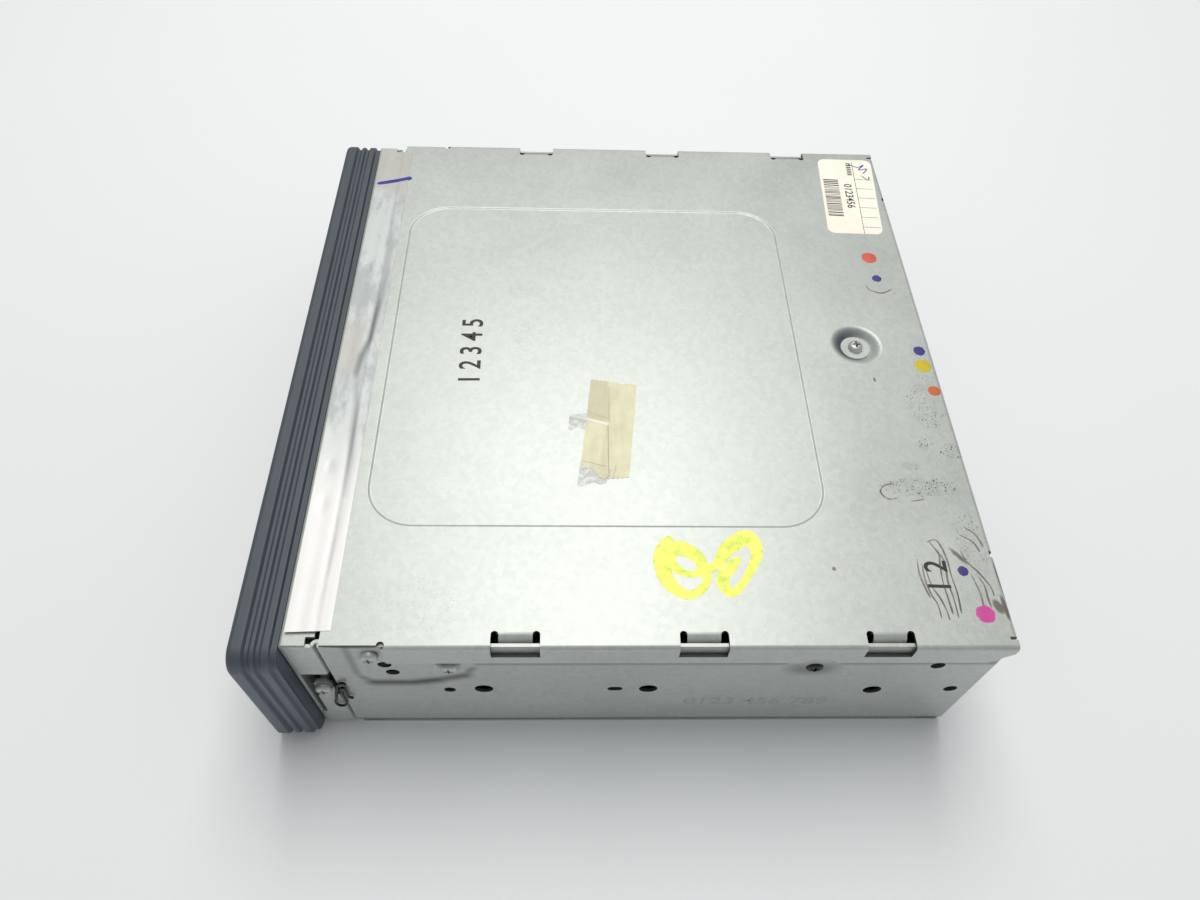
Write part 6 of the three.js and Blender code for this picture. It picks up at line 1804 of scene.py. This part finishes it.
def bars(name, corner, sizes, turn, top, coat):
    """Printed blocks on the lid: each a place and size from a corner, turned about it."""
    cosine, sine = math.cos(math.radians(turn)), math.sin(math.radians(turn))
    points, faces = [], []
    for x, y, width, length in sizes:
        first = len(points)
        corners, sides = box_faces(x, x + width, y, y + length, top, top + PRINT_THICKNESS)
        points += [(corner[0] + cosine * a - sine * b, corner[1] + sine * a + cosine * b, z)
                   for a, b, z in corners]
        faces += [[first + i for i in side] for side in sides]
    return new_object(name, points, faces, coat)


class OBJECT_OT_label(bpy.types.Operator):
    """Adds the paper label with plain bars, a grid and digits"""

    bl_idname = "disc_player.label"
    bl_label = "Label"

    def execute(self, context):
        random.seed(5)
        ink = finish("label_ink")
        length, width = LABEL_SIZE
        outline, faces = flat_pattern(rounded(0, length, 0, width, 2.4, 8))
        points = [(*between_corners(LABEL_CORNERS, a / length, b / width), LID_TOP + 0.08)
                  for a, b in outline]
        parts = [thickened(new_object("label_sheet", points, faces, finish("label_paper")), 0.06, 60)]
        near, far = LABEL_CORNERS[:2]
        turn = math.degrees(math.atan2(far[1] - near[1], far[0] - near[0]))
        top = LID_TOP + PRINT_LIFT
        blocks, x = [], 10.2
        while x < 28.5:
            width = random.choice((0.22, 0.35, 0.5))
            blocks.append((x, 0.2, width, 4.9))
            x += width + random.choice((0.26, 0.36, 0.5))
        blocks += [(0.6, 10.6, 35.6, 0.16)] + [(9.4 + 4.7 * i, 10.7, 0.16, 5.5) for i in range(6)]
        blocks += [(1.2 + 0.95 * i, 8.6, 0.55, 1.5) for i in range(7)]
        parts.append(bars("label_bars", PRINT_CORNER, blocks, turn, top, ink))
        parts.append(printed("label_digits", "0123456", (-66.4, 145), (12, 2.6), turn, top, ink))
        for route in PEN_ROUTES:
            pen = [(PRINT_CORNER[0] + a, PRINT_CORNER[1] + b, 0.42) for a, b in route]
            parts.append(ribbon("label_pen", pen, top - 0.02, finish("pen_ink"), 0.02))
        fixed(softened(merged("paper_label", parts), 60), "unit", "label_paper", "label")
        return {"FINISHED"}


# Marks: middle across and along, radius, finish
PAINT_DOTS = (
    (-37.4, 145.8, 2.3, "red_paint"), (-28.5, 146.4, 1.4, "blue_paint"), (0.3, 152.8, 1.65, "blue_paint"),
    (5.9, 152.7, 2.3, "yellow_paint"), (14.8, 153.7, 1.75, "orange_paint"), (69.5, 147.7, 1.3, "blue_paint"),
    (80.5, 150.2, 2.2, "pink_paint"),
)
# Lines of dried glue by the rear corner
DRIED_LINES = (
    ((66.3, 137.4), (70.2, 137.1), (74.1, 137.7), (76.6, 138.3)),
    ((67.6, 138.3), (71.5, 138.1), (75.3, 138.6), (78.1, 139.6), (81.5, 139.7)),
    ((68.9, 138.9), (73.4, 139.3), (76.6, 140.6), (79.6, 141.3), (82.1, 141.5)),
    ((61.3, 141.2), (65, 142.9), (67.6, 142.6), (72.2, 142.2), (76.6, 142.4), (80.5, 142.6)),
    ((63.3, 142.4), (67, 143.8), (72.2, 143.4), (76.6, 143.7), (81.5, 143.7)),
    ((61.7, 140.8), (61.3, 143.3), (65.7, 144.5), (70.9, 144.6), (75.3, 144.9), (80.3, 144.6)),
    ((70.9, 151), (73.4, 151.8), (76.6, 151.8), (79, 152)), ((70.2, 149.4), (75.3, 150.3), (79, 150.2)),
    ((57.5, 150.9), (59.6, 153.2), (63, 154.3)), ((59.6, 149.2), (61.6, 152), (64.3, 153.1)),
    ((64, 148.4), (67, 149.3), (70, 151.4), (73.6, 153.2), (76, 153.4)),
    ((49.2, 136.4), (49.5, 134), (47.6, 132.4), (45.6, 133.6), (45, 136.2)),
    ((50.2, 139.4), (49.6, 143)), ((-25.6, 142.4), (-23.4, 143.6), (-22.4, 147), (-24.2, 150.2)),
)


# Pen strokes: place across and along, and width
PEN_STROKE = ((-68.4, -7.4, 1.3), (-69.4, -3.6, 1.4), (-70.6, 0.4, 1.4), (-71.6, 3.2, 1.7))
SCRIBBLE = (
    (60.4, 79, 2.8), (66, 76.4, 4.0), (72.6, 77.8, 3.6), (75.8, 82.4, 2.3), (72.4, 86.6, 2.0),
    (66.4, 85.2, 3.2), (63.6, 80.8, 4.2), (66.4, 78.2, 2.9), (70.4, 82, 1.7), (68.6, 88.6, 2.3),
    (63.4, 92.6, 3.8), (60.8, 97.4, 4.4), (64.8, 99.2, 2.8), (71.4, 96, 1.8), (75.4, 92.2, 2.0),
    (71.6, 90.4, 3.2), (66, 95, 2.2),
)
DOT_STEPS = 28


def ribbon(name, points, top, coat, crown=0.03):
    """A flat marker stroke on the lid along points, each with its width, and a slightly raised middle."""
    knots = [np.array(point) for point in points]
    smoothed = []
    for i in range(len(knots) - 1):
        first, second = knots[i][:2], knots[i + 1][:2]
        before, after = knots[max(i - 1, 0)][:2], knots[min(i + 2, len(knots) - 1)][:2]
        for step in range(8):
            t = step / 8
            middle = 0.5 * (2 * first + (second - before) * t
                            + (2 * before - 5 * first + 4 * second - after) * t * t
                            + (3 * first - before - 3 * second + after) * t ** 3)
            smoothed.append((*middle, knots[i][2] * (1 - t) + knots[i + 1][2] * t))
    smoothed.append(points[-1])
    last = len(smoothed) - 1
    made = []
    for i, (x, y, width) in enumerate(smoothed):
        ahead, behind = smoothed[min(i + 1, last)], smoothed[max(i - 1, 0)]
        dx, dy = ahead[0] - behind[0], ahead[1] - behind[1]
        length = math.hypot(dx, dy)
        half = width / 2 * (0.45 + 0.55 * smooth(min(i, last - i) / 3))
        for side in (-1, -0.5, 0, 0.5, 1):
            px, py = x - dy / length * half * side, y + dx / length * half * side
            rise = crown * (1 - side * side) + 0.0001 * i
            made.append((px, py, top - lid_drop(px, py) + rise + 0.01))
    stroke = outward(new_object(name, made, turned_over(grid_faces(last, 4)), coat))
    return thickened(stroke, 0.02, 60)


def paint_dot(x, y, radius, coat):
    """A domed spot of paint with a slightly uneven edge."""
    wobble = [1 + random.uniform(-0.07, 0.07) for _ in range(DOT_STEPS)]
    turns = [2 * math.pi * i / DOT_STEPS for i in range(DOT_STEPS)]
    points = [(x, y, LID_TOP + 0.04)]
    for share, height in ((0.5, 0.04), (0.93, 0.03), (1, 0.0)):
        points += [(x + radius * share * wide * math.cos(turn), y + radius * share * wide * math.sin(turn),
                    LID_TOP + height) for wide, turn in zip(wobble, turns)]
    faces = [[0, 1 + i, 1 + (i + 1) % DOT_STEPS] for i in range(DOT_STEPS)]
    for first in (1, 1 + DOT_STEPS):
        for i in range(DOT_STEPS):
            a, b = first + i, first + (i + 1) % DOT_STEPS
            faces.append([a, a + DOT_STEPS, b + DOT_STEPS, b])
    faces.append([1 + 2 * DOT_STEPS + i for i in reversed(range(DOT_STEPS))])
    return outward(new_object("dot", points, faces, finish(coat)))


class OBJECT_OT_marks(bpy.types.Operator):
    """Adds the paint dots, the pen stroke, the marker scribble and plain stamped digits"""

    bl_idname = "disc_player.marks"
    bl_label = "Marks"

    def execute(self, context):
        if not context.scene.disc_marks.show_marks:
            return {"FINISHED"}
        random.seed(3)
        dots = [paint_dot(*dot) for dot in PAINT_DOTS]
        fixed(softened(merged("paint_dots", dots), 60), "unit", "lid_steel")
        fixed(ribbon("pen_stroke", PEN_STROKE, LID_TOP + 0.14, finish("pen_ink")), "unit", "lid_steel")
        fixed(ribbon("marker_scribble", SCRIBBLE, LID_TOP, finish("highlighter")), "unit", "lid_steel")
        lines = []
        for route in DRIED_LINES:
            wide = [(*point, 0.25 + 0.15 * ((7 * i) % 3)) for i, point in enumerate(route)]
            lines.append(ribbon("dried_line", wide, LID_TOP + 0.005, finish("dried_dirt"), 0.004))
        fixed(merged("dried_lines", lines), "unit", "lid_steel")
        ink = finish("stamp_ink")
        stamps = [
            printed("stamp", "1 2 3 4 5", (1.2, 27.2), (22.5, STAMP_HEIGHT), 181,
                    LID_TOP - lid_drop(1.2, 27.2) + 0.02, ink),
            printed("stamp", "1 2", (70.3, 141.2), (7.2, STAMP_HEIGHT * 0.92), 178, LID_TOP + 0.02, ink),
        ]
        fixed(merged("stamped_digits", stamps), "unit", "lid_steel")
        # Pressed digits on the right wall, drawn as thin flat digits in darker zinc: painted shade of their
        # pressing.
        digits = printed("pressed_digits", "0123 456 789", (102.5, 14.8), (37, 5), 0,
                         WALL_OUTER + PRINT_THICKNESS, finish("pressed_zinc"), True)
        fixed(digits, "unit", "case_steel")
        return {"FINISHED"}


# Mechanism: finishes of the carried-over pieces

NODE_FINISHES = {
    "deck_zinc": ("deck_chassis", "upper_guide_plate", "clamp_arm"),
    "damper_rubber": ("damper_right_front", "damper_right_rear", "damper_left_front", "damper_left_rear"),
    "motor_can": ("spindle_motor", "loading_motor", "sled_motor"),
    "dark_plastic": ("turntable", "pickup_sled", "pinch_bar"),
    "white_plastic": ("clamper", "cam_slider"),
    "gear_plastic": ("idler_gear", "roller_gear"),
    "contact_brass": ("motor_pinion",),
    "shaft_steel": ("roller_shaft", "guide_rod_left", "guide_rod_right", "lead_screw"),
    "roller_rubber": ("feed_roller",),
    "circuit_board": ("main_board", "front_board"),
    "capacitor_sleeve": ("capacitor",),
    "cable_film": ("flat_cable",),
    "pickup_glass": ("pickup_lens",),
}


class OBJECT_OT_mechanism(bpy.types.Operator):
    """Gives the disc mechanism and the boards their finishes"""

    bl_idname = "disc_player.mechanism"
    bl_label = "Mechanism finishes"

    def execute(self, context):
        for name, nodes in NODE_FINISHES.items():
            for node in nodes:
                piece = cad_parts[node]
                for slot in piece.material_slots:
                    slot.material = finish(name)
        return {"FINISHED"}


# Stage

TABLE_HALF, TABLE_DROP = 1500, 0.05
TABLE_BOOST = 1.2
LAMP_PLACE = (-0.35, 0, 1.0)
LAMP_SIZE = (0.9, 0.56)
LAMP_COLOUR = (1.0, 0.985, 0.945)
CAMERA_PLACE = (0.165147, -0.0173375, 0.234781)
CAMERA_TURN = (35.22967, -1.89363, 89.16704)


class OBJECT_OT_stage(bpy.types.Operator):
    """Adds the floor, the overhead lamp, the surround and the camera"""

    bl_idname = "disc_player.stage"
    bl_label = "Stage"

    def execute(self, context):
        scene = context.scene
        self.floor(scene.disc_stage.floor)
        self.lights(scene, scene.disc_stage)
        self.camera(scene)
        scene.view_settings.view_transform = "Standard"
        return {"FINISHED"}

    def floor(self, colour):
        """A pale table that keeps its shadow and shows paler to the camera and in glossy surfaces."""
        shader = Shader("table")
        cloud = shader.noise(160, 2)
        toned = shader.mix(cloud, shade(colour, 0.97), shade(colour, 1.0))
        marked = shader.mix(shader.specks(60, 0.7, 0.25) * 0.6, toned, linear(150, 150, 150))
        ray = shader.node("ShaderNodeLightPath").socket.node
        seen = [Value(shader, ray.outputs[f"Is {kind} Ray"]) for kind in ("Camera", "Glossy", "Transmission")]
        paler = shader.node("ShaderNodeVectorMath", (marked, (TABLE_BOOST,) * 3), operation="MULTIPLY")
        shown = shader.mix(seen[0].most(seen[1]).most(seen[2]), marked, paler)
        table = shader.finish(Base_Color=shown, Roughness=0.6, Specular_IOR_Level=0.1)
        points = [(x * TABLE_HALF, y * TABLE_HALF, -TABLE_DROP)
                  for x, y in ((-1, -1), (1, -1), (1, 1), (-1, 1))]
        new_object("table", points, [[0, 1, 2, 3]], table)

    def lights(self, scene, sizes):
        """One wide lamp overhead and an even surround."""
        lamp = bpy.data.lights.new("overhead", "AREA")
        lamp.shape = "RECTANGLE"
        lamp.size, lamp.size_y = LAMP_SIZE
        lamp.energy = sizes.lamp_power
        lamp.color = LAMP_COLOUR
        holder = placed("overhead", lamp)
        holder.location = LAMP_PLACE
        holder.rotation_euler = (-holder.location).to_track_quat("-Z", "X").to_euler()
        scene.world = bpy.data.worlds.new("surround")
        scene.world.use_nodes = True
        sky = scene.world.node_tree.nodes["Background"]
        sky.inputs["Color"].default_value = (1, 1, 1, 1)
        sky.inputs["Strength"].default_value = sizes.world_strength

    def camera(self, scene):
        """The camera above the right side, looking down and across."""
        lens = bpy.data.cameras.new("view")
        lens.lens = scene.disc_stage.lens
        lens.sensor_width = 36
        lens.clip_start = 0.01
        scene.camera = placed("view", lens)
        scene.camera.location = CAMERA_PLACE
        scene.camera.rotation_euler = Euler([math.radians(turn) for turn in CAMERA_TURN])


# Panel and registration

STEPS = (
    OBJECT_OT_stage, OBJECT_OT_lid, OBJECT_OT_walls, OBJECT_OT_bottom, OBJECT_OT_back, OBJECT_OT_front_frame,
    OBJECT_OT_bezel, OBJECT_OT_face, OBJECT_OT_controls, OBJECT_OT_screws, OBJECT_OT_wire_clip,
    OBJECT_OT_rear_fittings, OBJECT_OT_foil, OBJECT_OT_clear_tape, OBJECT_OT_label, OBJECT_OT_marks,
    OBJECT_OT_mechanism,
)
GROUPS = {"disc_case": CaseSettings, "disc_bezel": BezelSettings, "disc_marks": MarkSettings,
          "disc_stage": StageSettings}


class VIEW3D_PT_disc_player(bpy.types.Panel):
    """Sizes, colours and build steps of the disc player"""

    bl_idname = "VIEW3D_PT_disc_player"
    bl_label = "Disc player"
    bl_space_type = "VIEW_3D"
    bl_region_type = "UI"
    bl_category = "Disc player"

    def draw(self, context):
        """Lists the settings and the operators."""
        for name, group in GROUPS.items():
            box = self.layout.box()
            for setting in group.__annotations__:
                box.prop(getattr(context.scene, name), setting)
        for step in STEPS:
            self.layout.operator(step.bl_idname)


def register():
    """Registers the classes and the settings."""
    for made in (*GROUPS.values(), *STEPS, VIEW3D_PT_disc_player):
        bpy.utils.register_class(made)
    for name, group in GROUPS.items():
        setattr(bpy.types.Scene, name, PointerProperty(type=group))


def unregister():
    """Takes the settings and the classes away."""
    for name in GROUPS:
        delattr(bpy.types.Scene, name)
    for made in reversed((*GROUPS.values(), *STEPS, VIEW3D_PT_disc_player)):
        bpy.utils.unregister_class(made)


def main():
    """Builds everything around the frame."""
    register()
    for step in STEPS:
        group, name = step.bl_idname.split(".")
        getattr(getattr(bpy.ops, group), name)()


if __name__ == "__main__":
    main()
